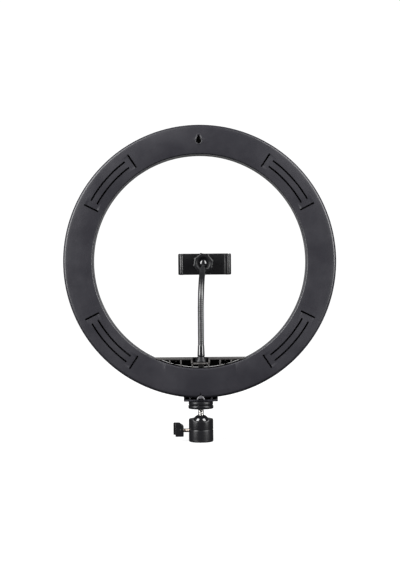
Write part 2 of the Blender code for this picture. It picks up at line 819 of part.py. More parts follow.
for side, x in (("left", -FOOT_SCREW_X), ("right", FOOT_SCREW_X)):
    pilot = turned(
        f"cut_foot_pilot_{side}",
        [
            (0, 13.0 * mm),
            (SCREW_R + GAP, 13.0 * mm),
            (SCREW_R + GAP, SUNK_DEPTH + GAP),
            (SUNK_HEAD_R + GAP, GAP),
            (SUNK_HEAD_R + GAP, -1.0 * mm),
            (0, -1.0 * mm),
        ],
        None,
        Matrix.Translation((x, FOOT_SCREW_Y, FOOT_BOTTOM)),
        12,
    )
    boolean(foot_bracket, "DIFFERENCE", pilot)
    boolean(front_frame, "DIFFERENCE", pilot)
    turned(
        f"foot_screw_{side}",
        [
            (0, 9.4 * mm),
            (SCREW_R, 8.6 * mm),
            (SCREW_R, SUNK_DEPTH),
            (SUNK_HEAD_R, 0.2 * mm),
            (SUNK_HEAD_R, 0.05 * mm),
            (0, 0.05 * mm),
        ],
        STEEL,
        Matrix.Translation((x, FOOT_SCREW_Y, FOOT_BOTTOM)),
        12,
    )

# ---------------------------------------------------------------- ball head


def ball_arc(radius, low, high, count):
    """Profile points (radius, height) on a sphere about the origin, by angle from its top."""
    turn = np.radians(np.linspace(low, high, count))
    return [(radius * math.sin(a), radius * math.cos(a)) for a in turn]


lip_angle = math.degrees(math.asin(HEAD_LIP_R / (BALL_R + SEAT_CLEAR)))
head_housing = turned(
    "head_housing",
    [
        (HEAD_LIP_R + 1.2 * mm, HEAD_TOP),
        (HEAD_R - 2.0 * mm, HEAD_TOP - 0.1 * mm),
        (HEAD_R - 0.5 * mm, HEAD_TOP - 0.6 * mm),
        (HEAD_R, HEAD_TOP - 1.4 * mm),
        (HEAD_R, CLAMP_Z + 1.2 * mm),
        (HEAD_R - 0.3 * mm, CLAMP_Z + 0.9 * mm),
        (HEAD_R, CLAMP_Z + 0.6 * mm),
        (HEAD_R, 0.9 * mm),
        (HEAD_R - 0.9 * mm, 0),
        (PLUG_R + GAP, 0),
        (PLUG_R + GAP, PLUG_TOP + GAP),
        (HEAD_BORE_R, PLUG_TOP + GAP),
        *[
            (r if r < BALL_R else HEAD_BORE_R, BALL_Z + h)
            for r, h in ball_arc(BALL_R + SEAT_CLEAR, 90, lip_angle, 7)
        ],
    ],
    SATIN_BLACK,
    None,
    28,
)
turned(
    "head_base_plug",
    [
        (PLUG_R - 0.3 * mm, PLUG_TOP),
        (PLUG_R, PLUG_TOP - 0.3 * mm),
        (PLUG_R, 0),
        (SOCKET_R + 0.5 * mm, 0),
        (SOCKET_R, 0.5 * mm),
        (SOCKET_R, SOCKET_DEPTH),
        (0, SOCKET_DEPTH),
        (0, PLUG_TOP),
    ],
    STEEL,
    None,
    24,
)
cup_low = math.degrees(math.asin(CUP_HOLE_R / (BALL_R + SEAT_CLEAR)))
cup_high = math.degrees(math.acos((CUP_TOP - BALL_Z) / (BALL_R + SEAT_CLEAR)))
turned(
    "ball_cup",
    [
        (HEAD_BORE_R - GAP, CUP_TOP),
        (HEAD_BORE_R - GAP, CUP_BOTTOM),
        (CUP_HOLE_R, CUP_BOTTOM),
        *[
            (r, BALL_Z + h)
            for r, h in ball_arc(BALL_R + SEAT_CLEAR, 180 - cup_low, cup_high, 6)
        ],
    ],
    NYLON,
    None,
    24,
)
stud_angle = math.degrees(math.asin((STUD_R + RUNNING) / BALL_R))
STUD_HOLE = STUD_FOOT - GAP
turned(
    "head_ball",
    [
        *[(r, BALL_Z + h) for r, h in ball_arc(BALL_R, stud_angle, 180, 11)[:-1]],
        (0, BALL_Z - BALL_R),
        (0, STUD_HOLE),
        (STUD_R + RUNNING, STUD_HOLE),
    ],
    GLOSS_BLACK,
    None,
    28,
)
turned(
    "stud",
    [
        (0, STUD_TOP),
        (STUD_R - 0.5 * mm, STUD_TOP),
        (STUD_R, STUD_TOP - 0.5 * mm),
        (STUD_R, STUD_FOOT),
        (0, STUD_FOOT),
    ],
    STEEL,
    None,
    24,
)
WHEEL_MID = (WHEEL_BOTTOM + WHEEL_TOP) / 2
turned(
    "lock_wheel",
    [
        (STUD_R + RUNNING, WHEEL_TOP),
        (WHEEL_TOP_R - 1.0 * mm, WHEEL_TOP),
        (WHEEL_TOP_R, WHEEL_TOP - 1.0 * mm),
        (WHEEL_TOP_R, WHEEL_MID + 0.6 * mm),
        (WHEEL_TOP_R - 0.5 * mm, WHEEL_MID),
        (WHEEL_R, WHEEL_MID - 0.6 * mm),
        (WHEEL_R, WHEEL_BOTTOM + 1.0 * mm),
        (WHEEL_R - 1.0 * mm, WHEEL_BOTTOM),
        (STUD_R + RUNNING, WHEEL_BOTTOM),
    ],
    SATIN_BLACK,
    None,
    32,
)

# The clamp: a wing knob and its screw, which presses a brass shoe on the cup.
SHOE_R = 1.9 * mm
SHOE_OUT = -HEAD_R + 1.1 * mm
SHOE_IN = -HEAD_BORE_R - 0.1 * mm
rod("clamp_shoe", (SHOE_OUT, 0, CLAMP_Z), (SHOE_IN, 0, CLAMP_Z), SHOE_R, BRASS, 16)
clamp_hole = rod(
    "cut_clamp_hole",
    (-HEAD_R - 1.0 * mm, 0, CLAMP_Z),
    (-HEAD_BORE_R + 2.0 * mm, 0, CLAMP_Z),
    CLAMP_R + RUNNING,
    None,
    16,
)
boolean(head_housing, "DIFFERENCE", clamp_hole)
KNOB_IN = -HEAD_R - CLAMP_SHOWN
KNOB_OUT = KNOB_IN - KNOB_LENGTH
screw_in = SHOE_OUT - GAP
screw_out = KNOB_IN - 7.0 * mm
clamp_turn = Matrix.Translation((0, 0, CLAMP_Z)) @ Matrix.Rotation(math.radians(90), 4, "Y")
turned(
    "clamp_screw",
    [
        (0, screw_in),
        (CLAMP_R - 0.5 * mm, screw_in),
        (CLAMP_R, screw_in - 0.5 * mm),
        (CLAMP_R, screw_out),
        (0, screw_out),
    ],
    STEEL,
    clamp_turn,
    16,
)
STAND_ON_CLAMP = Matrix.Translation((0, 0, CLAMP_Z)) @ Matrix.Rotation(math.radians(90), 4, "X")
clamp_knob = prism(
    "clamp_knob",
    [
        (KNOB_OUT, -KNOB_DOWN + 2.2 * KNOB_SLANT),
        (KNOB_OUT + 2.0 * mm, -KNOB_DOWN + KNOB_SLANT),
        (KNOB_IN - 0.6 * mm, -KNOB_DOWN),
        (KNOB_IN, -KNOB_DOWN + 0.8 * mm),
        (KNOB_IN, KNOB_UP - 3.0 * KNOB_SLANT),
        (KNOB_IN - 0.8 * mm, KNOB_UP - 2.2 * KNOB_SLANT),
        (KNOB_IN - 3.0 * mm, KNOB_UP - KNOB_SLANT),
        (KNOB_OUT + 1.0 * mm, KNOB_UP),
        (KNOB_OUT, KNOB_UP - 1.0 * mm),
    ],
    -KNOB_THICK / 2,
    KNOB_THICK / 2,
    CLIP_BLACK,
    STAND_ON_CLAMP,
)
bevel(clamp_knob, 0.9 * mm, 2, 60)
knob_hole = rod(
    "cut_knob_hole",
    (KNOB_IN + 1.0 * mm, 0, CLAMP_Z),
    (screw_out - GAP, 0, CLAMP_Z),
    CLAMP_R + RUNNING,
    None,
    16,
)
boolean(clamp_knob, "DIFFERENCE", knob_hole)

# ---------------------------------------------------------------- gooseneck

turned(
    "neck_flange",
    [
        (FERRULE_R + 0.2 * mm, FERRULE_BOTTOM - GAP),
        (FLANGE_R, BAR_TOP + 1.4 * mm),
        (FLANGE_R, BAR_TOP + GAP),
        (SHANK_R + GAP, BAR_TOP + GAP),
        (SHANK_R + GAP, FERRULE_BOTTOM - GAP),
    ],
    SATIN_BLACK,
    Matrix.Translation((NECK_X, NECK_Y, 0)),
    24,
)
NUT_TOP = BAR_TOP - BAR - GAP
neck_nut = prism(
    "neck_nut",
    circle(SHANK_R + 2.2 * mm, 6),
    NUT_TOP - NUT_THICK,
    NUT_TOP,
    STEEL,
    Matrix.Translation((NECK_X, NECK_Y, 0)),
)
shank_hole = rod(
    "cut_shank_hole",
    (NECK_X, NECK_Y, NUT_TOP - 5.0 * mm),
    (NECK_X, NECK_Y, NUT_TOP + 1.0 * mm),
    SHANK_R + GAP,
    None,
    16,
)
boolean(neck_nut, "DIFFERENCE", shank_hole)
turned(
    "neck_base_ferrule",
    [
        (0, FERRULE_TOP - NECK_GAP / 2),
        (FERRULE_R - 0.8 * mm, FERRULE_TOP - NECK_GAP / 2),
        (FERRULE_R, FERRULE_TOP - NECK_GAP / 2 - 0.8 * mm),
        (FERRULE_R, FERRULE_BOTTOM),
        (SHANK_R, FERRULE_BOTTOM),
        (SHANK_R, SHANK_BOTTOM),
        (0, SHANK_BOTTOM),
    ],
    GLOSS_BLACK,
    Matrix.Translation((NECK_X, NECK_Y, 0)),
    24,
)

NECK_LENGTH = NECK_STRAIGHT + NECK_BEND_R * NECK_BEND
BEND_WAY = Vector((math.sin(NECK_TURN), math.cos(NECK_TURN), 0))


def neck_point(s):
    """The point and direction at a distance along the neck: straight up, then an arc forward."""
    start = Vector((NECK_X, NECK_Y, FERRULE_TOP))
    up = Vector((0, 0, 1))
    if s <= NECK_STRAIGHT:
        return start + up * s, up
    turn = min((s - NECK_STRAIGHT) / NECK_BEND_R, NECK_BEND)
    rest = s - NECK_STRAIGHT - turn * NECK_BEND_R
    way = up * math.cos(turn) + BEND_WAY * math.sin(turn)
    arc_end = up * math.sin(turn) + BEND_WAY * (1 - math.cos(turn))
    return start + up * NECK_STRAIGHT + arc_end * NECK_BEND_R + way * rest, way


# Seven links stand between the eight bending places, with chamfered ends.
LINK = NECK_LENGTH / (NECK_LINKS - 1)
for number in range(1, NECK_LINKS):
    low = (number - 1) * LINK + NECK_GAP / 2
    high = number * LINK - NECK_GAP / 2
    route = [neck_point(s)[0] for s in np.linspace(low, high, 4)]
    tube(f"neck_link_{number}", route, NECK_R, SATIN_BLACK, 2)


def along(s):
    """A frame at a distance along the neck, with Z along it."""
    point, way = neck_point(s)
    return Matrix.Translation(point) @ way.to_track_quat("Z", "Y").to_matrix().to_4x4()


turned(
    "neck_tip_ferrule",
    [
        (CLIP_STEM_R + GAP, TIP_LENGTH),
        (CLIP_STEM_R + 0.8 * mm, TIP_LENGTH),
        (NECK_R, TIP_LENGTH - 1.8 * mm),
        (NECK_R, NECK_GAP / 2),
        (0, NECK_GAP / 2),
        (0, TIP_BORE_FLOOR),
        (CLIP_STEM_R + GAP, TIP_BORE_FLOOR),
    ],
    GLOSS_BLACK,
    along(NECK_LENGTH),
    24,
)
BALL_S = NECK_LENGTH + TIP_LENGTH + TIP_TO_BALL
stem_angle = math.degrees(math.asin(CLIP_STEM_R / CLIP_BALL_R))
stem_foot = -(TIP_TO_BALL + TIP_LENGTH - TIP_BORE_FLOOR - GAP)
turned(
    "ball_stem",
    [
        *ball_arc(CLIP_BALL_R, 0, 180 - stem_angle, 11),
        (CLIP_STEM_R, stem_foot),
        (0, stem_foot),
    ],
    GLOSS_BLACK,
    along(BALL_S),
    24,
)

# ---------------------------------------------------------------- phone clip

BALL = neck_point(BALL_S)[0]
FROM_BALL = Matrix.Translation(BALL)
SEAT_R = CLIP_BALL_R + SEAT_CLEAR


def lobed(radius, lobe, lobes, count):
    """A round outline with shallow round lobes."""
    points = []
    for a in np.linspace(0, 2 * math.pi, count, endpoint=False):
        r = radius + lobe * max(0, math.cos(lobes * a)) ** 2
        points.append((r * math.cos(a), r * math.sin(a)))
    return points


ball_nut = prism(
    "ball_lock_nut",
    lobed(NUT_R, NUT_LOBE, NUT_LOBES, 64),
    NUT_BACK,
    NUT_FRONT,
    SATIN_BLACK,
    FROM_BALL @ FACE_FRONT,
)
lip_r = math.sqrt(SEAT_R**2 - NUT_LIP**2)
lip_from_top = math.degrees(math.acos(NUT_LIP / SEAT_R))
seat_from_top = math.degrees(math.acos(0.5 * mm / SEAT_R))
nut_bore = turned(
    "cut_nut_bore",
    [
        (0, NUT_FRONT + 1.0 * mm),
        (NUT_BORE_R, NUT_FRONT + 1.0 * mm),
        (NUT_BORE_R, 0.5 * mm),
        *ball_arc(SEAT_R, seat_from_top, lip_from_top, 5),
        (lip_r + NUT_LIP - NUT_BACK + 0.5 * mm, NUT_BACK - 0.5 * mm),
        (0, NUT_BACK - 0.5 * mm),
    ],
    None,
    FROM_BALL @ FACE_FRONT,
    32,
)
boolean(ball_nut, "DIFFERENCE", nut_bore)


CLIP_AT = BALL - Vector((0, 0, CLIP_DROP))
FROM_CLIP = Matrix.Translation(CLIP_AT)


def clip_box(name, low, high, mat):
    """A box given from the clip's middle, which stands below the ball's centre."""
    return box(name, CLIP_AT + Vector(low), CLIP_AT + Vector(high), mat)


COVER_FRONT = CLIP_BACK_Y + CLIP_COVER
BODY_BACK = COVER_FRONT + GAP
BODY_FRONT = BODY_BACK + CLIP_DEPTH
BODY_LEFT = CLIP_LEFT + JAW
BODY_RIGHT = CLIP_RIGHT - JAW - GAP
clip_cover = clip_box(
    "clip_cover",
    (BODY_LEFT + GAP, CLIP_BACK_Y, -CLIP_HALF_H),
    (BODY_RIGHT, COVER_FRONT, CLIP_HALF_H),
    CLIP_BLACK,
)
SEAT_START = 0.8 * mm
clip_socket = turned(
    "cut_socket",
    [
        (0, COVER_FRONT - 0.2 * mm),
        (NUT_BORE_R - GAP, COVER_FRONT - 0.2 * mm),
        (NUT_BORE_R - GAP, SEAT_START),
        (0, SEAT_START),
    ],
    None,
    FROM_BALL @ FACE_FRONT,
    28,
)
boolean(clip_cover, "UNION", clip_socket)
seat_ball = turned(
    "cut_seat",
    ball_arc(SEAT_R, 0, 180, 13),
    None,
    FROM_BALL @ FACE_FRONT,
    28,
)
boolean(clip_cover, "DIFFERENCE", seat_ball)

clip_body = clip_box(
    "clip_body",
    (CLIP_LEFT, CLIP_BACK_Y, -CLIP_HALF_H),
    (BODY_RIGHT, BODY_FRONT, CLIP_HALF_H),
    CLIP_BLACK,
)
jaw_block = clip_box(
    "cut_fixed_jaw",
    (CLIP_LEFT, CLIP_BACK_Y, -CLIP_HALF_H),
    (CLIP_LEFT + JAW + JAW_LIP, JAW_REACH, CLIP_HALF_H),
    None,
)
boolean(clip_body, "UNION", jaw_block)
jaw_mouth = clip_box(
    "cut_jaw_mouth",
    (BODY_LEFT, BODY_FRONT, -CLIP_HALF_H - 1.0 * mm),
    (CLIP_RIGHT, JAW_REACH - JAW, CLIP_HALF_H + 1.0 * mm),
    None,
)
boolean(clip_body, "DIFFERENCE", jaw_mouth)
cover_room = clip_box(
    "cut_cover_room",
    (BODY_LEFT, CLIP_BACK_Y - 1.0 * mm, -CLIP_HALF_H - 1.0 * mm),
    (CLIP_RIGHT, BODY_BACK, CLIP_HALF_H + 1.0 * mm),
    None,
)
boolean(clip_body, "DIFFERENCE", cover_room)
END_WALL = 1.8 * mm
cavity = clip_box(
    "cut_clip_cavity",
    (BODY_LEFT + CLIP_WALL, BODY_BACK - 1.0 * mm, -CLIP_HALF_H + CLIP_WALL),
    (BODY_RIGHT - END_WALL, BODY_FRONT - CLIP_WALL, CLIP_HALF_H - CLIP_WALL),
    None,
)
boolean(clip_body, "DIFFERENCE", cavity)

JAW_IN = CLIP_RIGHT - JAW
TONGUE_FRONT = BODY_FRONT - CLIP_WALL - GAP
TONGUE_BACK = TONGUE_FRONT - TONGUE_THICK
ROD_Y = BODY_BACK + GAP + SPRING_R + SPRING_WIRE
slot = clip_box(
    "cut_tongue_slot",
    (BODY_RIGHT - END_WALL - 1.0 * mm, TONGUE_BACK - GAP, -TONGUE_HALF - GAP),
    (CLIP_RIGHT, TONGUE_FRONT + GAP, TONGUE_HALF + GAP),
    None,
)
boolean(clip_body, "DIFFERENCE", slot)
sliding_jaw = clip_box(
    "sliding_jaw",
    (JAW_IN - JAW_LIP, CLIP_BACK_Y, -CLIP_HALF_H),
    (CLIP_RIGHT, JAW_REACH, CLIP_HALF_H),
    CLIP_BLACK,
)
jaw_inside = clip_box(
    "cut_jaw_inside",
    (JAW_IN - JAW_LIP - 1.0 * mm, CLIP_BACK_Y - 1.0 * mm, -CLIP_HALF_H - 1.0 * mm),
    (JAW_IN, JAW_REACH - JAW, CLIP_HALF_H + 1.0 * mm),
    None,
)
boolean(sliding_jaw, "DIFFERENCE", jaw_inside)
tongue = clip_box(
    "cut_tongue",
    (JAW_IN - TONGUE_LENGTH, TONGUE_BACK, -TONGUE_HALF),
    (JAW_IN + 0.5 * mm, TONGUE_FRONT, TONGUE_HALF),
    None,
)
boolean(sliding_jaw, "UNION", tongue)

ROD_HEAD = 1.4 * mm
ROD_END = JAW_IN - GAP
RODS_WAY = Matrix.Rotation(math.radians(90), 4, "Y")
for side, z in (("upper", ROD_Z), ("lower", -ROD_Z)):
    turned(
        f"slide_rod_{side}",
        [
            (0, ROD_END),
            (ROD_R, ROD_END),
            (ROD_R, ROD_END - ROD_LENGTH),
            (SPRING_R, ROD_END - ROD_LENGTH),
            (SPRING_R, ROD_END - ROD_LENGTH - ROD_HEAD),
            (0, ROD_END - ROD_LENGTH - ROD_HEAD),
        ],
        STEEL,
        FROM_CLIP @ Matrix.Translation((0, ROD_Y, z)) @ RODS_WAY,
        12,
    )
    rod_hole = rod(
        f"cut_rod_hole_{side}",
        CLIP_AT + Vector((BODY_RIGHT - END_WALL - 1.0 * mm, ROD_Y, z)),
        CLIP_AT + Vector((CLIP_RIGHT, ROD_Y, z)),
        ROD_R + RUNNING,
        None,
        12,
    )
    boolean(clip_body, "DIFFERENCE", rod_hole)
    spring_low = ROD_END - ROD_LENGTH + GAP + SPRING_WIRE
    spring_high = BODY_RIGHT - END_WALL - GAP - SPRING_WIRE
    coil = []
    for t in np.linspace(0, 1, SPRING_TURNS * 6 + 1):
        a = 2 * math.pi * SPRING_TURNS * t
        x = spring_low + (spring_high - spring_low) * t
        ring = Vector((x, ROD_Y + SPRING_R * math.cos(a), z + SPRING_R * math.sin(a)))
        coil.append(CLIP_AT + ring)
    tube(f"slide_spring_{side}", coil, SPRING_WIRE, STEEL, 0)

PAD_HALF = CLIP_HALF_H - 1.5 * mm
clip_box(
    "pad_face",
    (BODY_LEFT + 4.0 * mm, BODY_FRONT + GAP, -PAD_HALF),
    (BODY_RIGHT - 8.0 * mm, BODY_FRONT + GAP + PAD, PAD_HALF),
    RUBBER,
)
PAD_BACK = BODY_FRONT + GAP + PAD + 1.0 * mm
PAD_END = JAW_REACH - JAW - 1.0 * mm
clip_box(
    "pad_fixed",
    (BODY_LEFT + GAP, PAD_BACK, -PAD_HALF),
    (BODY_LEFT + GAP + PAD, PAD_END, PAD_HALF),
    RUBBER,
)
clip_box(
    "pad_sliding",
    (JAW_IN - GAP - PAD, PAD_BACK, -PAD_HALF),
    (JAW_IN - GAP, PAD_END, PAD_HALF),
    RUBBER,
)
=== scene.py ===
import math

import bmesh
import bpy
import numpy as np
from mathutils import Matrix, Vector


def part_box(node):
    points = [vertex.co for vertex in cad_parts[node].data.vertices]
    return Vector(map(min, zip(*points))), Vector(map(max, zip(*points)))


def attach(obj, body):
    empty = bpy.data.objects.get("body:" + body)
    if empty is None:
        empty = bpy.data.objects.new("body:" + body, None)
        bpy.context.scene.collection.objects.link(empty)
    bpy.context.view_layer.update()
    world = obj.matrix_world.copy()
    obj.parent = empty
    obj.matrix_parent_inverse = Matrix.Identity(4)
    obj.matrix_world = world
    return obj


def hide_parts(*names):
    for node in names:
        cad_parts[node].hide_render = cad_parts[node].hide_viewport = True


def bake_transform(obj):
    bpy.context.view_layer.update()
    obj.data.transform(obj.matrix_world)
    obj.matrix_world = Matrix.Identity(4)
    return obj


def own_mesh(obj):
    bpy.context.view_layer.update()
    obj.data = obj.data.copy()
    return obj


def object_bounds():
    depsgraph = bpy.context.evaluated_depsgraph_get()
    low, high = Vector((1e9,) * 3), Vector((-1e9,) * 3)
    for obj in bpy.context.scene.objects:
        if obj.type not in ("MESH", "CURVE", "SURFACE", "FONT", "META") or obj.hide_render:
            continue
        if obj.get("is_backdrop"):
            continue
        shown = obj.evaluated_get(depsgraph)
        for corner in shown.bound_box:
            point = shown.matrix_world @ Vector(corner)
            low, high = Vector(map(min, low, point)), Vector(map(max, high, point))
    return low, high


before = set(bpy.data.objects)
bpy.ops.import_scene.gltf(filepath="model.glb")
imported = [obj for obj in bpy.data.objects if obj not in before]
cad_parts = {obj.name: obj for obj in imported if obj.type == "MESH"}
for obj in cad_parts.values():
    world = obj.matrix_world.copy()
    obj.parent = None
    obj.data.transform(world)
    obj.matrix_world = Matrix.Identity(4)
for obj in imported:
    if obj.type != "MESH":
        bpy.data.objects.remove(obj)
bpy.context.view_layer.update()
mm = 0.001

# ---- Camera, floor and lights
# The light is looked at from behind, level with the lower half of its ring, from 1.4 m away.
# Two tall softboxes stand to its left and right, on the camera's side, over a plain pale floor,
# and a third one lights its front.

FOCAL = 80.26
CAMERA_PLACE = (0.16 * mm, -1.4, 172.35 * mm)
CAMERA_ROLL = math.radians(-0.5)

lens = bpy.data.cameras.new("camera")
lens.sensor_width = 36
lens.lens = FOCAL
lens.clip_end = 100
camera = bpy.data.objects.new("camera", lens)
bpy.context.scene.collection.objects.link(camera)
camera.matrix_world = (
    Matrix.Translation(CAMERA_PLACE)
    @ Matrix.Rotation(math.radians(90), 4, "X")
    @ Matrix.Rotation(CAMERA_ROLL, 4, "Z")
)
bpy.context.scene.camera = camera
bpy.context.scene.view_settings.view_transform = "Standard"


def node(tree, kind, inputs=None, **settings):
    """A shader node with its settings and inputs; an input that is a socket gets linked."""
    made = tree.nodes.new("ShaderNode" + kind)
    for key, value in settings.items():
        setattr(made, key, value)
    for key, value in (inputs or {}).items():
        if isinstance(value, bpy.types.NodeSocket):
            tree.links.new(value, made.inputs[key])
        else:
            made.inputs[key].default_value = value
    return made


def settle(shader, values):
    """Sets a shader's inputs by their names."""
    for key, value in values.items():
        shader.inputs[key].default_value = value


def ramp(tree, value, low, high, start=0.0, end=1.0):
    """A value between low and high, brought in proportion to between start and end."""
    return node(tree, "MapRange", {0: value, 1: low, 2: high, 3: start, 4: end}).outputs[0]


def softbox(name, side, height, forward, wide, tall, power):
    """A rectangular softbox, in metres and watts, that faces the middle of the object."""
    lamp = bpy.data.lights.new(name, "AREA")
    lamp.shape = "RECTANGLE"
    lamp.size = wide
    lamp.size_y = tall
    lamp.energy = power
    placed = bpy.data.objects.new(name, lamp)
    bpy.context.scene.collection.objects.link(placed)
    spot = Vector((side, forward, height))
    placed.location = spot
    placed.rotation_euler = (Vector((0, 0, 0.17)) - spot).to_track_quat("-Z", "Y").to_euler()


softbox("softbox_left", -1.25, 0.85, -0.84, 0.95, 2.0, 122)
softbox("softbox_right", 1.25, 0.85, -0.84, 0.95, 2.0, 104)
softbox("softbox_front", 0, 0.3, 2.1, 1.6, 1.2, 3)

studio = bpy.data.worlds.new("studio")
bpy.context.scene.world = studio
studio.use_nodes = True
air = studio.node_tree
air.nodes.clear()
seen = node(air, "Background", {"Color": (1, 1, 1, 1), "Strength": 1.05})
around = node(air, "Background", {"Color": (0.95, 0.97, 1, 1), "Strength": 0.07})
to_camera = node(air, "LightPath").outputs["Is Camera Ray"]
pick = node(air, "MixShader", {0: to_camera, 1: around.outputs[0], 2: seen.outputs[0]})
node(air, "OutputWorld", {"Surface": pick.outputs[0]})

FAR = 9
floor_mesh = bpy.data.meshes.new("floor")
floor_mesh.from_pydata([(-FAR, -FAR, 0), (FAR, -FAR, 0), (FAR, FAR, 0), (-FAR, FAR, 0)], [], [(0, 1, 2, 3)])
floor = bpy.data.objects.new("floor", floor_mesh)
bpy.context.scene.collection.objects.link(floor)
floor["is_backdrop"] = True
paper = bpy.data.materials.new("floor_paper")
paper.use_nodes = True
sheet = paper.node_tree.nodes["Principled BSDF"]
settle(sheet, {"Base Color": (0.12, 0.12, 0.12, 1), "Roughness": 1.0, "Specular IOR Level": 0.0,
               "Emission Color": (1, 1, 1, 1)})
# The floor's glow is dimmed near the object's base, a painted contact shadow round it, and reaches white half
# a metre out.
away = node(paper.node_tree, "TexCoord").outputs["Object"]
away = node(paper.node_tree, "VectorMath", {0: away}, operation="LENGTH").outputs["Value"]
glow_with_painted_shadow = ramp(paper.node_tree, away, 0.05, 0.5, 0.86, 1.02)
paper.node_tree.links.new(glow_with_painted_shadow, sheet.inputs["Emission Strength"])
floor_mesh.materials.append(paper)
floor.visible_diffuse = False
floor.visible_glossy = False

# ---- Ball head housing
# A turned aluminium cup, painted satin black, that holds the ball. It has a fine groove round it
# at the clamp's height, a rounded shoulder, and a steel plug in its underside for the light stand.


def grid_faces(rows, columns, round_rows=False, round_columns=False):
    """The squares of a grid of points, numbered row by row, closed into a loop where asked."""
    i = np.arange(rows if round_rows else rows - 1)[:, None]
    j = np.arange(columns if round_columns else columns - 1)[None, :]
    up, along = (i + 1) % rows, (j + 1) % columns
    corners = [i * columns + j, i * columns + along, up * columns + along, up * columns + j]
    return np.stack(np.broadcast_arrays(*corners), -1).reshape(-1, 4)


def turned(profile, sides=64, closed=False, matrix=None, swell=0, share=1):
    """A profile (radius, height) carried round local Z: (r cos a, r sin a, h).

    The radius grows by swell, given for each angle, times share, given for each profile point.
    """
    profile = np.asarray(profile, float)
    turn = np.linspace(0, 2 * np.pi, sides, endpoint=False)
    share = np.broadcast_to(share, len(profile))[:, None]
    radius = profile[:, :1] + share * swell
    radius, height = np.broadcast_arrays(radius, profile[:, 1:])
    points = np.stack([radius * np.cos(turn), radius * np.sin(turn), height + 0 * turn], -1)
    return moved(points, matrix), [grid_faces(len(profile), sides, closed, True)]


def moved(points, matrix):
    """Points turned and shifted by a 4 x 4 matrix."""
    points = points.reshape(-1, 3)
    if matrix is None:
        return points
    matrix = np.array(matrix)
    return points @ matrix[:3, :3].T + matrix[:3, 3]


def soften(outline, radius, closed=False, steps=4):
    """Rounds each corner B of an outline with the curve (1-t)^2 A + 2t(1-t) B + t^2 C.

    A and C lie on the corner's two sides, a radius away from it.
    """
    p = np.asarray(outline, float)
    radius = np.array(np.broadcast_to(radius, len(p)), float)
    if not closed:
        radius[[0, -1]] = 0
    back, on = np.roll(p, 1, 0) - p, np.roll(p, -1, 0) - p
    back_long = np.maximum(np.linalg.norm(back, axis=1), 1e-9)
    on_long = np.maximum(np.linalg.norm(on, axis=1), 1e-9)
    reach = np.minimum(radius, 0.45 * np.minimum(back_long, on_long))
    start, end = p + back * (reach / back_long)[:, None], p + on * (reach / on_long)[:, None]
    t = np.linspace(0, 1, steps + 1)[:, None, None]
    curve = (1 - t) ** 2 * start + 2 * t * (1 - t) * p + t * t * end
    return curve.transpose(1, 0, 2).reshape(-1, 2)


def step(low, high, value):
    """A smooth rise from 0 to 1 between two values: t^2 (3 - 2 t)."""
    t = np.clip((value - low) / (high - low), 0, 1)
    return t * t * (3 - 2 * t)


def piece(name, shapes, finish, body, slot, *replaced, sharp=38):
    """One object from (points, faces) shapes: seams and poles merged, faces turned outwards."""
    whole = bmesh.new()
    for points, faces in shapes:
        shape = bpy.data.meshes.new(name)
        shape.from_pydata(points.tolist(), [], [f for rows in faces for f in rows.tolist()])
        bm = bmesh.new()
        bm.from_mesh(shape)
        bmesh.ops.remove_doubles(bm, verts=bm.verts, dist=2e-6)
        bmesh.ops.recalc_face_normals(bm, faces=bm.faces)
        bm.to_mesh(shape)
        bm.free()
        whole.from_mesh(shape)
        bpy.data.meshes.remove(shape)
    mesh = bpy.data.meshes.new(name)
    whole.to_mesh(mesh)
    whole.free()
    mesh.shade_smooth()
    mesh.set_sharp_from_angle(angle=math.radians(sharp))
    mesh.materials.append(finish)
    made = bpy.data.objects.new(name, mesh)
    bpy.context.scene.collection.objects.link(made)
    if body:
        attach(made, body)
    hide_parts(*replaced)
    return made


def group(name, inputs, outputs):
    """An empty shader node group with named inputs and outputs."""
    tree = bpy.data.node_groups.new(name, "ShaderNodeTree")
    for key, (kind, value) in inputs.items():
        socket = tree.interface.new_socket(key, in_out="INPUT", socket_type="NodeSocket" + kind)
        socket.default_value = value
    for key, kind in outputs.items():
        tree.interface.new_socket(key, in_out="OUTPUT", socket_type="NodeSocket" + kind)
    return tree, tree.nodes.new("NodeGroupInput").outputs, tree.nodes.new("NodeGroupOutput").inputs


# Handling: broad soft patches where a surface is rubbed or dusty, and fine specks of dust.
handling, given, out = group(
    "handling",
    {"Colour": ("Color", (0, 0, 0, 1)), "Dusty": ("Color", (0.1, 0.1, 0.1, 1)), "Patch": ("Float", 30.0),
     "Patches": ("Float", 0.2), "Specks": ("Float", 0.1), "Roughness": ("Float", 0.5),
     "Spread": ("Float", 0.1)},
    {"Colour": "Color", "Roughness": "Float"},
)
place = node(handling, "TexCoord").outputs["Object"]
patch = node(handling, "TexNoise",
             {"Vector": place, "Scale": given["Patch"], "Detail": 5.0, "Roughness": 0.62})
patch = ramp(handling, patch.outputs[0], 0.38, 0.68)
speck = node(handling, "TexNoise", {"Vector": place, "Scale": 1500.0, "Detail": 1.0})
speck = ramp(handling, speck.outputs[0], 0.7, 0.76)
rub = node(handling, "Math", {0: patch, 1: given["Patches"]}, operation="MULTIPLY")
dust = node(handling, "Math", {0: speck, 1: given["Specks"]}, operation="MULTIPLY")
both = node(handling, "Math", {0: rub.outputs[0], 1: dust.outputs[0]}, operation="ADD", use_clamp=True)
mixed = node(handling, "Mix", {0: both.outputs[0], 6: given["Colour"], 7: given["Dusty"]}, data_type="RGBA")
handling.links.new(mixed.outputs[2], out["Colour"])
swing = ramp(handling, patch, 0.0, 1.0, -1.0, 1.0)
swing = node(handling, "Math", {0: swing, 1: given["Spread"], 2: given["Roughness"]}, operation="MULTIPLY_ADD")
handling.links.new(swing.outputs[0], out["Roughness"])
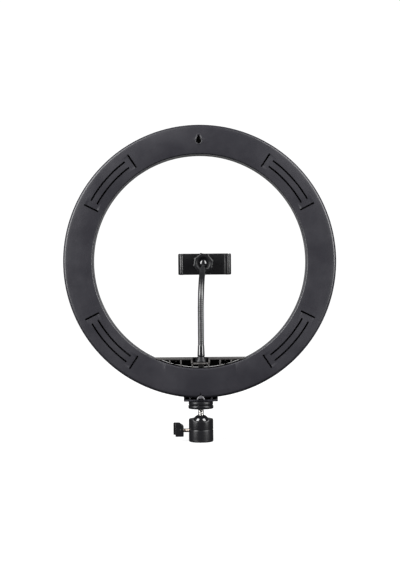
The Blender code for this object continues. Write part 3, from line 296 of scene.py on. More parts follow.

# Edge wear and painted highlight: outward edges turn lighter, broken up by noise, partly as paint rubbed thin
# and partly as a painted highlight where they would catch the light.
edge_wear_and_highlight, given, out = group(
    "edge_wear_and_highlight", {"Start": ("Float", 0.52), "Full": ("Float", 0.62)}, {"WornAndHighlit": "Float"},
)
place = node(edge_wear_and_highlight, "TexCoord").outputs["Object"]
ridge = node(edge_wear_and_highlight, "NewGeometry").outputs["Pointiness"]
ridge = ramp(edge_wear_and_highlight, ridge, given["Start"], given["Full"])
chips = node(edge_wear_and_highlight, "TexNoise", {"Vector": place, "Scale": 700.0, "Detail": 4.0})
chips = ramp(edge_wear_and_highlight, chips.outputs[0], 0.36, 0.6)
worn_and_highlit = node(edge_wear_and_highlight, "Math", {0: ridge, 1: chips}, operation="MULTIPLY")
edge_wear_and_highlight.links.new(worn_and_highlit.outputs[0], out["WornAndHighlit"])

# Turning lines: fine rings that a lathe leaves round an upright axis through Centre.
turning_lines, given, out = group("turning_lines", {"Centre": ("Vector", (0, 0, 0))}, {"Height": "Float"})
place = node(turning_lines, "TexCoord").outputs["Object"]
place = node(turning_lines, "VectorMath", {0: place, 1: given["Centre"]}, operation="SUBTRACT")
part = node(turning_lines, "SeparateXYZ", {0: place.outputs[0]})
flat = node(turning_lines, "CombineXYZ", {0: part.outputs[0], 1: part.outputs[1]})
radius = node(turning_lines, "VectorMath", {0: flat.outputs[0]}, operation="LENGTH")
rings = node(turning_lines, "CombineXYZ", {0: radius.outputs["Value"], 2: part.outputs[2]})
rings = node(turning_lines, "TexNoise", {"Vector": rings.outputs[0], "Scale": 5200.0, "Detail": 2.0})
turning_lines.links.new(rings.outputs[0], out["Height"])

# Moulded grain: the fine spark-eroded skin of a mould, with a slow swell under it.
moulded_grain, given, out = group("moulded_grain", {"Size": ("Float", 0.3)}, {"Height": "Float"})
place = node(moulded_grain, "TexCoord").outputs["Object"]
scale = node(moulded_grain, "Math", {0: 700.0, 1: given["Size"]}, operation="DIVIDE")
skin = node(moulded_grain, "TexNoise",
            {"Vector": place, "Scale": scale.outputs[0], "Detail": 3.0, "Roughness": 0.6})
pits = node(moulded_grain, "TexVoronoi", {"Vector": place, "Scale": scale.outputs[0]})
skin = node(moulded_grain, "Math", {0: pits.outputs[0], 1: 0.5, 2: skin.outputs[0]}, operation="MULTIPLY_ADD")
moulded_grain.links.new(skin.outputs[0], out["Height"])


def use(tree, shared, **inputs):
    """One of the shared groups placed in a material, with its inputs."""
    placed = node(tree, "Group", node_tree=shared)
    for key, value in inputs.items():
        if isinstance(value, bpy.types.NodeSocket):
            tree.links.new(value, placed.inputs[key])
        else:
            placed.inputs[key].default_value = value
    return placed.outputs


def finish(name, colour, dusty, roughness, spread=0.08, patch=40, patches=0.25, specks=0.25, metallic=0.0,
           grain=0.3, depth=0.02, lines=None, line_depth=0.004, wear_and_highlight=None, worn_and_highlit=(0.1, 0.1, 0.1), specular=0.5):
    """A Principled material with handling, moulded grain or turning lines, and edges lightened as wear and as
    a painted highlight.

    Grain is the size and depth that of the bumps in millimetres; lines is the lathe's axis.
    """
    made = bpy.data.materials.new(name)
    made.use_nodes = True
    tree = made.node_tree
    shader = tree.nodes["Principled BSDF"]
    settle(shader, {"Metallic": metallic, "Specular IOR Level": specular})
    marks = use(tree, handling, Colour=(*colour, 1), Dusty=(*dusty, 1), Patch=patch, Patches=patches,
                Specks=specks, Roughness=roughness, Spread=spread)
    tone = marks["Colour"]
    # Lighter edges: rubbed paint, and a painted edge highlight.
    if wear_and_highlight:
        rubbed_and_highlit = use(tree, edge_wear_and_highlight, Start=wear_and_highlight[0], Full=wear_and_highlight[1])["WornAndHighlit"]
        tone = node(tree, "Mix", {0: rubbed_and_highlit, 6: tone, 7: (*worn_and_highlit, 1)}, data_type="RGBA").outputs[2]
    tree.links.new(tone, shader.inputs["Base Color"])
    tree.links.new(marks["Roughness"], shader.inputs["Roughness"])
    skin = use(tree, moulded_grain, Size=grain)["Height"]
    bump = node(tree, "Bump", {"Height": skin, "Distance": depth * mm, "Strength": 1.0})
    if lines is not None:
        cut = use(tree, turning_lines, Centre=lines)["Height"]
        bump = node(tree, "Bump", {"Height": cut, "Distance": line_depth * mm, "Normal": bump.outputs[0]})
    tree.links.new(bump.outputs[0], shader.inputs["Normal"])
    return made


satin_paint = finish("satin_paint", (0.0042, 0.0042, 0.0048), (0.010, 0.010, 0.011), 0.34, patches=0.18,
                     grain=0.12, depth=0.003, lines=(0, 0, 0), line_depth=0.0015, wear_and_highlight=(0.62, 0.8),
                     worn_and_highlit=(0.02, 0.02, 0.022), specular=0.16)

head_low, head_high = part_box("head_housing")
ball_low, ball_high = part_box("head_ball")
HEAD_R = (head_high.x - head_low.x) / 2
HEAD_TOP = head_high.z
BALL_R = (ball_high.x - ball_low.x) / 2
BALL_Z = ball_low.z + BALL_R
CLAMP_Z = (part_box("clamp_screw")[0].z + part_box("clamp_screw")[1].z) / 2
PLUG_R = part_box("head_base_plug")[1].x
PLUG_HOLE_R, PLUG_HOLE_DEEP = PLUG_R + 0.3 * mm, 4.9 * mm
CAVITY_R = HEAD_R - 2.9 * mm
SEAT_R = BALL_R + 0.3 * mm
LIP_Z = HEAD_TOP - 0.6 * mm
LIP_R = math.sqrt(SEAT_R**2 - (LIP_Z - BALL_Z) ** 2)
GROOVE = 0.45 * mm

turn = np.linspace(math.asin(LIP_R / SEAT_R), math.pi / 2, 12)
seat = np.stack([SEAT_R * np.sin(turn), BALL_Z + SEAT_R * np.cos(turn)], -1)
housing = np.concatenate([
    seat[::-1],
    soften([
        (LIP_R, LIP_Z), (LIP_R + 0.5 * mm, HEAD_TOP - 0.25 * mm), (HEAD_R - 1.9 * mm, HEAD_TOP),
        (HEAD_R - 0.35 * mm, HEAD_TOP - 0.45 * mm), (HEAD_R, HEAD_TOP - 1.9 * mm),
        (HEAD_R, CLAMP_Z + 1.45 * mm), (HEAD_R - GROOVE, CLAMP_Z + 1.25 * mm),
        (HEAD_R - GROOVE, CLAMP_Z + 1.1 * mm), (HEAD_R, CLAMP_Z + 0.2 * mm), (HEAD_R, 2.35 * mm),
        (HEAD_R - 0.12 * mm, 2.2 * mm), (HEAD_R, 2.05 * mm), (HEAD_R, 0.95 * mm), (HEAD_R - 0.95 * mm, 0),
        (PLUG_HOLE_R, 0), (PLUG_HOLE_R, PLUG_HOLE_DEEP), (CAVITY_R, PLUG_HOLE_DEEP), (CAVITY_R, BALL_Z),
    ], np.array([0, 0.2, 1.2, 1.0, 1.4, 0.15, 0.1, 0.1, 0.15, 0.08, 0.05, 0.08, 0.3, 0.3, 0.2, 0.1, 0.1, 0])
        * mm),
])
housing_points, housing_faces = turned(housing, 96, closed=True)
# The lip dips at the back, where the ball shows: lowered points move out to stay off the ball.
DIP, DIP_INNER, DIP_OUTER = 1.7 * mm, 5.8 * mm, 9.0 * mm
x, y, z = housing_points.T.copy()
lowered = (y < 0) * step(DIP_OUTER, DIP_INNER, np.abs(x))
lowered = lowered * np.clip((z - HEAD_TOP + 4.2 * mm) / (3.4 * mm), 0, 1)
in_seat = np.hypot(x, y) < HEAD_R - 2.0 * mm
z = z - DIP * lowered * (z > BALL_Z)
clear = np.sqrt(np.maximum(SEAT_R**2 - (z - BALL_Z) ** 2, 0)) / np.maximum(np.hypot(x, y), 1e-6)
outward = np.where((lowered > 0) & in_seat, np.maximum(clear, 1), 1)
housing_points = np.stack([x * outward, y * outward, z], -1)
piece("housing", [(housing_points, housing_faces)], satin_paint, "ball_head", "satin_black", "head_housing")

STUD_R, THREAD_PITCH = 3.175 * mm, 1.27 * mm
bare_steel = finish("bare_steel", (0.60, 0.59, 0.57), (0.36, 0.33, 0.29), 0.26, patch=160, patches=0.4,
                    specks=0.1, metallic=1.0, grain=0.1, depth=0.004, lines=(0, 0, 0), line_depth=0.006,
                    wear_and_highlight=(0.55, 0.7), worn_and_highlit=(0.8, 0.79, 0.77))
plug = soften([(0, 4.3 * mm), (STUD_R, 4.3 * mm), (STUD_R, 0.7 * mm), (3.9 * mm, 0.05 * mm),
               (PLUG_R - 2.6 * mm, 0.05 * mm), (PLUG_R - 2.3 * mm, 0.35 * mm), (PLUG_R - 1.9 * mm, 0.05 * mm),
               (PLUG_R - 0.1 * mm, 0.05 * mm), (PLUG_R, 0.3 * mm), (PLUG_R, 4.6 * mm), (0, 4.6 * mm)],
              0.15 * mm)
piece("stand_plug", [turned(plug, 64)], bare_steel, "ball_head", "steel", "head_base_plug")

nylon = finish("nylon", (0.72, 0.70, 0.62), (0.5, 0.48, 0.42), 0.45, grain=0.4)
brass = finish("brass", (0.70, 0.50, 0.22), (0.40, 0.28, 0.12), 0.3, metallic=1.0, grain=0.2, depth=0.006)


def coat(finish_used, slot, *names):
    """Gives CAD nodes a finish in place of the plain one they come with."""
    for name in names:
        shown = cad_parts[name]
        shown.data.materials.clear()
        shown.data.materials.append(finish_used)


coat(nylon, "nylon", "ball_cup")
coat(brass, "brass", "clamp_shoe")

# ---- Ball and stud
# A gloss black ball with a quarter-inch steel stud screwed into it, 20 threads to the inch.
gloss_black = finish("gloss_black", (0.004, 0.004, 0.0045), (0.02, 0.02, 0.022), 0.1, spread=0.03,
                     patches=0.1, grain=0.5, depth=0.001, wear_and_highlight=(0.6, 0.8), worn_and_highlit=(0.05, 0.05, 0.05))
HOLE_FLOOR = BALL_Z + BALL_R - 1.6 * mm
turn = np.linspace(math.asin((STUD_R + 0.5 * mm) / BALL_R), math.pi, 40)
ball = np.concatenate([
    [(0, HOLE_FLOOR), (STUD_R + 0.2 * mm, HOLE_FLOOR)],
    np.stack([BALL_R * np.sin(turn), BALL_Z + BALL_R * np.cos(turn)], -1),
])
piece("head_ball_turned", [turned(ball, 72)], gloss_black, "tilting_ball", "gloss_black", "head_ball")


def capped(rings, sides):
    """The faces of a tube of rings, with a flat end at each side."""
    ends = np.arange(sides)[None]
    return [grid_faces(rings, sides, False, True), ends, ends + (rings - 1) * sides]


def threaded(radius, depth, pitch, low, high, sides=40, matrix=None):
    """A screw's shank: r = radius - depth (1 - cos(2 pi h / pitch - a)) / 2, tapered at its top."""
    height = np.arange(low, high, pitch / 10)
    turn = np.linspace(0, 2 * np.pi, sides, endpoint=False)
    wave = 0.5 - 0.5 * np.cos(2 * np.pi * height[:, None] / pitch - turn)
    lead = np.clip((high - height) / (0.8 * pitch), 0, 1)[:, None]
    r = radius - depth * wave - 0.6 * depth * (1 - lead)
    points = np.stack([r * np.cos(turn), r * np.sin(turn), height[:, None] + 0 * turn], -1)
    return moved(points, matrix), capped(len(height), sides)


stud_low, stud_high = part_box("stud")
piece("stud_threaded", [threaded(STUD_R, 0.3 * mm, THREAD_PITCH, stud_low.z, stud_high.z)], bare_steel,
      "tilting_ball", "steel", "stud", sharp=60)

# ---- Clamp screw and wing knob
# A plain steel screw through the housing's side, turned by a moulded black wing whose upper
# part leans away from the head. Its end presses a brass shoe on the nylon cup.
screw_low, screw_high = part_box("clamp_screw")
knob_low, knob_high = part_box("clamp_knob")
to_left = Matrix.Translation((0, 0, CLAMP_Z)) @ Matrix.Rotation(math.radians(-90), 4, "Y")
screw_r = (screw_high.z - screw_low.z) / 2
warm_steel = finish("warm_steel", (0.40, 0.35, 0.31), (0.25, 0.21, 0.18), 0.42, patch=160, patches=0.3,
                    specks=0.1, metallic=1.0, grain=0.1, depth=0.004)
shank = threaded(screw_r, 0.3 * mm, 0.8 * mm, -screw_high.x, -screw_low.x, 32, to_left)
piece("clamp_screw_threaded", [shank], warm_steel, "clamp", "steel", "clamp_screw", sharp=60)


def moulded(outline, low, high, edge, corner=None, axis=1, rounds=4):
    """A closed outline carried through a thickness along one axis, with a rounded rim.

    Each ring is the outline moved in along its mitres by edge (1 - sin t), edge (1 - cos t) deep,
    its corners then rounded. One more ring lies on each flat cap, so that it is shaded flat.
    """
    p = np.asarray(outline, float)
    area = np.sum(p[:, 0] * np.roll(p[:, 1], -1) - np.roll(p[:, 0], -1) * p[:, 1])
    side = (np.roll(p, -1, 0) - p) * np.sign(area)
    side /= np.maximum(np.linalg.norm(side, axis=1), 1e-9)[:, None]
    inward = np.stack([-side[:, 1], side[:, 0]], -1)
    before = np.roll(inward, 1, 0)
    mitre = (inward + before) / (1 + np.sum(inward * before, 1))[:, None]
    t = np.linspace(0, np.pi / 2, rounds)
    inset, depth = edge * np.append(1.35, 1 - np.sin(t)), edge * np.append(0, 1 - np.cos(t))
    rings = [p + mitre * e for e in inset]
    if corner is not None:
        rings = [soften(r, np.maximum(corner - e, 0.03 * mm), True, 3) for r, e in zip(rings, inset)]
    ring = np.stack(rings + rings[::-1])
    level = np.concatenate([low + depth, high - depth[::-1]])
    third = np.broadcast_to(level[:, None], ring.shape[:2])
    points = np.insert(ring, axis, third, axis=2) if axis < 2 else np.dstack([ring, third])
    return points.reshape(-1, 3), capped(*ring.shape[:2])


clip_plastic = finish("clip_plastic", (0.004, 0.004, 0.0045), (0.009, 0.009, 0.010), 0.3, patches=0.12,
                      specks=0.2, grain=0.3, depth=0.002, specular=0.42)
KNOB_IN, KNOB_OUT = knob_high.x, knob_low.x


def wing_half(x0, x1, z0, z1, y0, y1):
    """One half of the wing: a slab with a long chamfer at the corner near the head."""
    chamfer = 2.2 * mm
    outline = [(x0, z0), (x1, z0), (x1, z1 - chamfer), (x1 - chamfer, z1), (x0, z1)]
    return moulded(outline, y0, y1, 0.55 * mm, 0.8 * mm, rounds=5)


COLLAR_R, COLLAR_BORE_R, COLLAR_END = 3.6 * mm, 2.5 * mm, KNOB_IN + 0.05 * mm
collar = soften([(0, KNOB_IN - 4 * mm), (COLLAR_R, KNOB_IN - 4 * mm), (COLLAR_R, COLLAR_END),
                 (COLLAR_BORE_R, COLLAR_END), (COLLAR_BORE_R, KNOB_IN - 0.8 * mm), (0, KNOB_IN - 0.8 * mm)],
                0.3 * mm) * (1, -1)
piece("wing_knob", [
    wing_half(KNOB_OUT, KNOB_IN - 2.2 * mm, knob_low.z + 2.0 * mm, knob_high.z, -1.2 * mm, knob_high.y),
    wing_half(KNOB_OUT + 2.3 * mm, KNOB_IN, knob_low.z, knob_high.z - 1.2 * mm, knob_low.y, 1.4 * mm),
    turned(collar, 32, matrix=to_left)], clip_plastic, "clamp", "clip_black", "clamp_knob")

# ---- Lock wheel
# A turned aluminium wheel on the stud, in two barrel-shaped bands, that locks the light's foot.
wheel_low, wheel_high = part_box("lock_wheel")
WHEEL_R = wheel_high.x
middle = (wheel_low.z + wheel_high.z) / 2
band = np.linspace(-1, 1, 9)
bulge = 1 - band**2
upper_z = middle + (wheel_high.z - middle) * (0.52 - 0.4 * band)
lower_z = middle + (wheel_low.z - middle) * (0.5 + 0.4 * band)
WAIST_R, BORE_R = WHEEL_R - 1.0 * mm, STUD_R + 0.3 * mm
wheel = np.concatenate([
    [(BORE_R, wheel_high.z), (WHEEL_R - 1.4 * mm, wheel_high.z)],
    np.stack([WHEEL_R - 0.55 * mm + 0.22 * mm * bulge, upper_z], -1),
    [(WAIST_R, middle + 0.15 * mm), (WAIST_R, middle - 0.15 * mm)],
    np.stack([WHEEL_R - 0.2 * mm + 0.2 * mm * bulge, lower_z], -1),
    [(WHEEL_R - 1.2 * mm, wheel_low.z), (STUD_R + 1.5 * mm, wheel_low.z), (BORE_R, wheel_low.z + 1.0 * mm)],
])
wheel = soften(wheel, 0.25 * mm, closed=True, steps=3)
piece("wheel", [turned(wheel, 96, closed=True)], satin_paint, "wheel", "satin_black", "lock_wheel")

# ---- Foot
# A charcoal ABS bracket under the ring, ribbed and open at the back, with a domed threaded
# insert in its middle. Two countersunk screws hold it to the front frame.
shell_plastic = finish("shell_plastic", (0.0078, 0.0075, 0.0098), (0.0145, 0.014, 0.0175), 0.42,
                       spread=0.05, patch=22, patches=0.3, specks=0.2, grain=0.35, depth=0.022,
                       wear_and_highlight=(0.6, 0.8), worn_and_highlit=(0.022, 0.021, 0.025), specular=0.32)
shell_low, shell_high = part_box("rear_shell")
RING_R = (shell_high.x - shell_low.x) / 2
RING_Z = shell_high.z - RING_R
foot_low, foot_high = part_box("foot_bracket")
FOOT_HALF, FOOT_DEEP, FOOT_Z = foot_high.x, foot_high.y, foot_low.z
FOOT_FLOOR = FOOT_Z + 2.2 * mm


def under_ring(x, radius):
    """The height of a circle of the ring's centre, below it, at x."""
    return RING_Z - math.sqrt(radius**2 - x**2)


def block(low, high, edge):
    """A box between two corners with rounded edges."""
    (x0, y0, z0), (x1, y1, z1) = low, high
    return moulded([(x0, z0), (x1, z0), (x1, z1), (x0, z1)], y0, y1, edge, edge)


def upright(x0, x1, y0, y1, floor_z, radius, edge):
    """A rib that stands on the foot's floor and reaches into the ring's underside."""
    top = [(x1, under_ring(x1, radius)), (x0, under_ring(x0, radius))]
    return moulded([(x0, floor_z), (x1, floor_z), *top], y0, y1, edge, edge)


sole = [(-FOOT_HALF, FOOT_Z), (FOOT_HALF, FOOT_Z), (FOOT_HALF, FOOT_FLOOR), (-FOOT_HALF, FOOT_FLOOR)]
sole_corners = np.array([1.6, 1.6, 0.3, 0.3]) * mm
RIB_TOP, RIB_FOOT = RING_R - 1.3 * mm, FOOT_Z + 1.2 * mm
RIB_BACK, RIB_FRONT = -FOOT_DEEP + 0.3 * mm, FOOT_DEEP - 0.2 * mm
THIN_RIB, THIN_HALF = 16.9 * mm, 0.4 * mm
foot_shapes = [moulded(sole, -FOOT_DEEP, FOOT_DEEP, 0.4 * mm, sole_corners)]
for side in (-1, 1):
    for inner, outer in ((FOOT_HALF - 1.3 * mm, FOOT_HALF), (11.0 * mm, 12.6 * mm)):
        x0, x1 = sorted((side * inner, side * outer))
        foot_shapes.append(upright(x0, x1, RIB_BACK, RIB_FRONT, RIB_FOOT, RIB_TOP, 0.3 * mm))
for side in (-1, 1):
    x0, x1 = side * THIN_RIB - THIN_HALF, side * THIN_RIB + THIN_HALF
    foot_shapes.append(upright(x0, x1, -4 * mm, 6 * mm, RIB_FOOT, RIB_TOP, 0.15 * mm))
inside, wall_foot = FOOT_HALF - 0.3 * mm, FOOT_Z + 0.6 * mm
across = np.linspace(inside, -inside, 9)
front_wall = [(-inside, wall_foot), (inside, wall_foot), *[(x, under_ring(x, RIB_TOP)) for x in across]]
foot_shapes.append(moulded(front_wall, 3.8 * mm, FOOT_DEEP - 0.1 * mm, 0.3 * mm))
piece("foot", foot_shapes, shell_plastic, "light", "shell_black", "foot_bracket")

insert_low, insert_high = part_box("foot_insert")
INSERT_R = insert_high.x
turn = np.linspace(0, math.pi / 2, 10)
dome = np.stack([INSERT_R * np.sin(turn), insert_high.z - 3.4 * mm * (1 - np.cos(turn))], -1)
INSERT_FLOOR = insert_high.z - 1.3 * mm
insert = np.concatenate([
    dome, [(INSERT_R, insert_low.z), (BORE_R, insert_low.z), (BORE_R, INSERT_FLOOR), (0, INSERT_FLOOR)],
])
# The insert stands in a boss with a round top, which fills the recess in the ring's edge.
BOSS_R, BOSS_Z = 4.3 * mm, 47.3 * mm
turn = np.radians(np.linspace(0, 180, 17))
boss = np.concatenate([[(-BOSS_R, FOOT_FLOOR - 0.5 * mm), (BOSS_R, FOOT_FLOOR - 0.5 * mm)],
                       np.stack([BOSS_R * np.cos(turn), BOSS_Z + BOSS_R * np.sin(turn)], -1)])
# The insert's black is coloured a mid grey, a painted sheen for the softboxes' light on its dome.
insert_paint_painted_sheen = finish("insert_paint_painted_sheen", (0.034, 0.033, 0.037), (0.05, 0.05, 0.054), 0.45, grain=0.2,
                      depth=0.006)
boss = moulded(boss, shell_low.y + 1.0 * mm, 1 * mm, 1.4 * mm, rounds=8)
piece("insert", [turned(insert, 48), boss], insert_paint_painted_sheen, "light", "satin_black", "foot_insert")
coat(bare_steel, "steel", "foot_screw_left", "foot_screw_right")

# ---- Rear shell
# The back half of the ring, injection moulded in charcoal ABS: a gently crowned face with four
# louvred vents, a hanging keyhole at the top and a flat pad at the bottom.
HOLE_R = 117.2 * mm
BACK = shell_low.y
BAND_R = (RING_R + HOLE_R) / 2
FACE_R, EDGE_R = 118.7 * mm, 145.1 * mm
VENTS = np.array([41.5, 138.5, 221.5, 318.5])
SLOT = 1.9 * mm
ARC_SLOTS = np.array([BAND_R - 5.5 * mm, BAND_R + 2.2 * mm])
SIDE_SLOT = (BAND_R - 10.4 * mm, BAND_R + 6.9 * mm)
SIDE_ANGLE, ARC_SPAN = 14.9, 11.6
KEY_R = BAND_R - 2.0 * mm

# The grid's lines, in degrees and in millimetres, lie close together where an opening's edge runs.
side_steps = np.array([9.6, 10.4, 10.8, 11.1, 11.35, 11.6, 11.74, 11.88, 12.0, 12.25, 12.8, 13.6, 14.15,
                       14.493, 14.7, 14.9, 15.1, 15.307, 15.65, 16.4, 17.6])
arc_steps = np.array([-2, -1.4, -0.95, -0.65, -0.3, 0, 0.3, 0.65, 0.95, 1.4, 2])
angles = [VENTS[:, None] + np.concatenate([-side_steps, np.arange(-8, 9, 2), side_steps])]
angles += [90 + np.linspace(-1.7, 1.7, 17), 270 + np.linspace(-4.2, 4.2, 29)]
angles += [270 + side * np.arange(14.6, 19.4, 0.3) for side in (-1, 1)]
angles = np.unique(np.round(np.concatenate([np.ravel(a) for a in angles]), 4))
gaps = np.diff(np.append(angles, angles[0] + 360))
fill = [np.linspace(a, a + g, int(g // 2.6) + 1, endpoint=False)[1:] for a, g in zip(angles, gaps) if g > 3]
angles = np.sort(np.concatenate([angles, *fill]) % 360)
radii = np.concatenate([
    np.linspace(118.9, 122.4, 5), [122.85, 123.2, 123.4, 123.65, 123.95, 124.5, 125.3], [130.9, 131.8, 132.7],
    *[arc / mm + arc_steps for arc in ARC_SLOTS],
    [138.6, 139.3, 139.75, 140.05, 140.3, 140.5, 140.85, 141.6, 142.5, 143.5],
]) * mm
radii = np.unique(np.round(radii, 6))


def crown(r):
    """The face's level across the band: flat in its middle, falling by a square law to its rims."""
    fall = np.where(r < BAND_R, 1.3 * mm, 0.7 * mm)
    return BACK + fall * np.clip(np.abs(r - BAND_R) / (0.5 * (RING_R - HOLE_R)), 0, 1) ** 2.2


t = np.linspace(0, np.pi / 2, 7)[:-1]
ROUND = FACE_R - HOLE_R
inner_round = np.stack([HOLE_R + ROUND * (1 - np.cos(t)), crown(FACE_R) + ROUND * (1 - np.sin(t))], -1)
# The outer round is a superellipse: |u|^n + |v|^n = 1, as u = sin(t)^(2/n), v = cos(t)^(2/n).
t = np.linspace(0, np.pi / 2, 18)[1:]
power = 2 / 3.2
u, v = np.sin(t) ** power, np.cos(t) ** power
outer_round = np.stack([EDGE_R + (RING_R - EDGE_R) * u, crown(EDGE_R) * v], -1)
face = np.stack([radii, crown(radii)], -1)
shell_profile = np.concatenate([[(HOLE_R, 0), (HOLE_R, BACK * 0.5)], inner_round, face, outer_round])

# Beside a vent the lines of the grid run parallel to its radial slots, so that each slot's
# width stays the same along it: a line d away from a slot at the band's middle stays d away.
R, A = np.broadcast_arrays(shell_profile[:, :1], angles[None, :])
Y = np.repeat(shell_profile[:, 1:], len(angles), 1).copy()
side_centres = np.concatenate([VENTS - SIDE_ANGLE, VENTS + SIDE_ANGLE])
off = (A[..., None] - side_centres + 180) % 360 - 180
nearest = np.take_along_axis(off, np.abs(off).argmin(-1)[..., None], -1)[..., 0]
hold = np.clip((2.2 - np.abs(nearest)) / 1.4, 0, 1)
A = A + hold * nearest * (BAND_R / R - 1)
T = np.radians(A)
X, Z = R * np.cos(T), R * np.sin(T)


def slot_distance(x, z):
    """How far each point of the face is from the edge of the nearest opening, below 0 inside one."""
    r, a = np.hypot(x, z), np.degrees(np.arctan2(z, x))
    nearest_edge = np.full(r.shape, 1.0)
    for centre in VENTS:
        turn = (a - centre + 180) % 360 - 180
        past = np.maximum(np.abs(turn) - ARC_SPAN, 0) * np.pi / 180 * r
        for arc in ARC_SLOTS:
            nearest_edge = np.minimum(nearest_edge, np.hypot(past, r - arc) - SLOT / 2)
        for side in (-SIDE_ANGLE, SIDE_ANGLE):
            lean = np.radians(turn - side)
            along, across = r * np.cos(lean), r * np.sin(lean)
            low, high = SIDE_SLOT[0] + SLOT / 2, SIDE_SLOT[1] - SLOT / 2
            past_end = np.maximum(np.maximum(low - along, along - high), 0)
            nearest_edge = np.minimum(nearest_edge, np.hypot(past_end, across) - SLOT / 2)
    return np.minimum(nearest_edge, key_distance(x, z))


def key_distance(x, z):
    """The distance to the keyhole's outline: a round head that tapers to a small round tip above."""
    head, tip, rise = 3.1 * mm, 1.1 * mm, 5.4 * mm
    x, z = np.abs(x), z - KEY_R
    lean = (head - tip) / rise
    across = math.sqrt(1 - lean**2)
    along = x * lean + z * across
    flank = x * across - (-z) * lean - head
    flank = np.where(x * -lean + z * across < 0, np.hypot(x, z) - head, flank)
    return np.where(x * -lean + z * across > rise * across, np.hypot(x, z - rise) - tip, flank)


# The points nearest to an opening's edge move on to it, along the slope of the distance.
on_face = (R > 118.5 * mm) & (R < 144 * mm)
near = slot_distance(X, Z)
tiny = 0.01 * mm
slope_x = (slot_distance(X + tiny, Z) - slot_distance(X - tiny, Z)) / (2 * tiny)
slope_z = (slot_distance(X, Z + tiny) - slot_distance(X, Z - tiny)) / (2 * tiny)
close = on_face & (np.abs(near) < 0.13 * mm)
X, Z = X - np.where(close, near * slope_x, 0), Z - np.where(close, near * slope_z, 0)

# Louvres: beside each radial slot the face is sunk, and ramps back up towards the vent's middle.
LOUVRE_LONG, LOUVRE_DEEP = 9.5 * mm, 0.8 * mm
for centre in VENTS:
    turn = (np.degrees(np.arctan2(Z, X)) - centre + 180) % 360 - 180
    r = np.hypot(X, Z)
    for side in (-1, 1):
        inward = -side * r * np.sin(np.radians(turn - side * SIDE_ANGLE)) - SLOT / 2
        ramp = np.where(inward > -0.1 * mm, np.clip(1 - inward / LOUVRE_LONG, 0, 1), 0)
        inside = step(SIDE_SLOT[0], SIDE_SLOT[0] + 3 * mm, r) * step(SIDE_SLOT[1], SIDE_SLOT[1] - 3 * mm, r)
        Y = Y + LOUVRE_DEEP * ramp * inside * (np.abs(turn) < 20)

# The pad at the bottom is flat where the face round it falls away, and the keyhole has a lip.
pad = step(41.2 * mm, 37.8 * mm, np.abs(X)) * (Z < 0) * step(146 * mm, 141 * mm, np.hypot(X, Z))
flat_level = BACK + 0.02 * mm
Y = np.where(on_face, Y + (flat_level - Y) * pad * (Y > flat_level), Y)
Y = Y - 0.35 * mm * np.exp(-(((key_distance(X, Z) - 0.7 * mm) / (0.45 * mm)) ** 2)) * on_face
# A recess in the outer edge leaves room for the foot's domed insert.
recess = step(4.9 * mm, 4.6 * mm, np.hypot(X, Z + RING_Z - BOSS_Z))
RECESS_Y = -3.5 * mm
Y = np.where(Y < RECESS_Y, Y + (RECESS_Y - Y) * recess, Y)

rows, columns = X.shape
faces = grid_faces(rows, columns, False, True)
points = np.stack([X, Y, Z + RING_Z], -1).reshape(-1, 3)
centre_x, centre_z = X.reshape(-1)[faces].mean(1), Z.reshape(-1)[faces].mean(1)
solid = (slot_distance(centre_x, centre_z) > 0) | ~on_face.reshape(-1)[faces].all(1)
rear = piece("rear_shell_moulded", [(points, [faces[solid]])], shell_plastic, None, "shell_black",
             "rear_shell")


def thicken(made, wall):
    """Gives an open shell its wall, inwards from the outside face, and closes its rims."""
    added = made.modifiers.new("wall", "SOLIDIFY")
    added.thickness = wall
    added.offset = -1
    shaped = bpy.data.meshes.new_from_object(made.evaluated_get(bpy.context.evaluated_depsgraph_get()))
    made.modifiers.clear()
    made.data = shaped
    shaped.set_sharp_from_angle(angle=math.radians(38))


if np.mean([p.normal.y for p in rear.data.polygons]) > 0:
    rear.data.flip_normals()
thicken(rear, 1.9 * mm)
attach(rear, "light")

# ---- Front frame, diffuser and electronics
# The front half of the ring is a U-shaped channel of the same ABS. It carries the LED board
# under a white reflector sheet, and an opal acrylic ring snapped in front of them.
ON_RING = Matrix.Translation((0, 0, RING_Z)) @ Matrix.Rotation(math.radians(-90), 4, "X")
frame_low, frame_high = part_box("front_frame")
FRONT = frame_high.y
WALL, LEDGE, FLOOR_Y = 2.0 * mm, 1.2 * mm, 1.5 * mm
LEDGE_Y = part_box("diffuser")[0].y - 0.3 * mm
OUT, IN = RING_R - WALL, HOLE_R + WALL
channel = soften([
    (RING_R, FRONT), (RING_R, frame_low.y), (OUT, frame_low.y), (OUT, FLOOR_Y), (IN, FLOOR_Y),
    (IN, frame_low.y), (HOLE_R, frame_low.y), (HOLE_R, FRONT), (IN, FRONT), (IN, LEDGE_Y),
    (IN + LEDGE, LEDGE_Y), (IN + LEDGE, FLOOR_Y + WALL), (OUT - LEDGE, FLOOR_Y + WALL),
    (OUT - LEDGE, LEDGE_Y), (OUT, LEDGE_Y), (OUT, FRONT),
], np.array([1.6, 0.25, 0.2, 0.2, 0.2, 0.2, 0.25, 1.3, 0.5] + [0.2] * 6 + [0.5]) * mm, closed=True)
piece("front_frame_moulded", [turned(channel, 240, closed=True, matrix=ON_RING)], shell_plastic, "light",
      "shell_black", "front_frame")

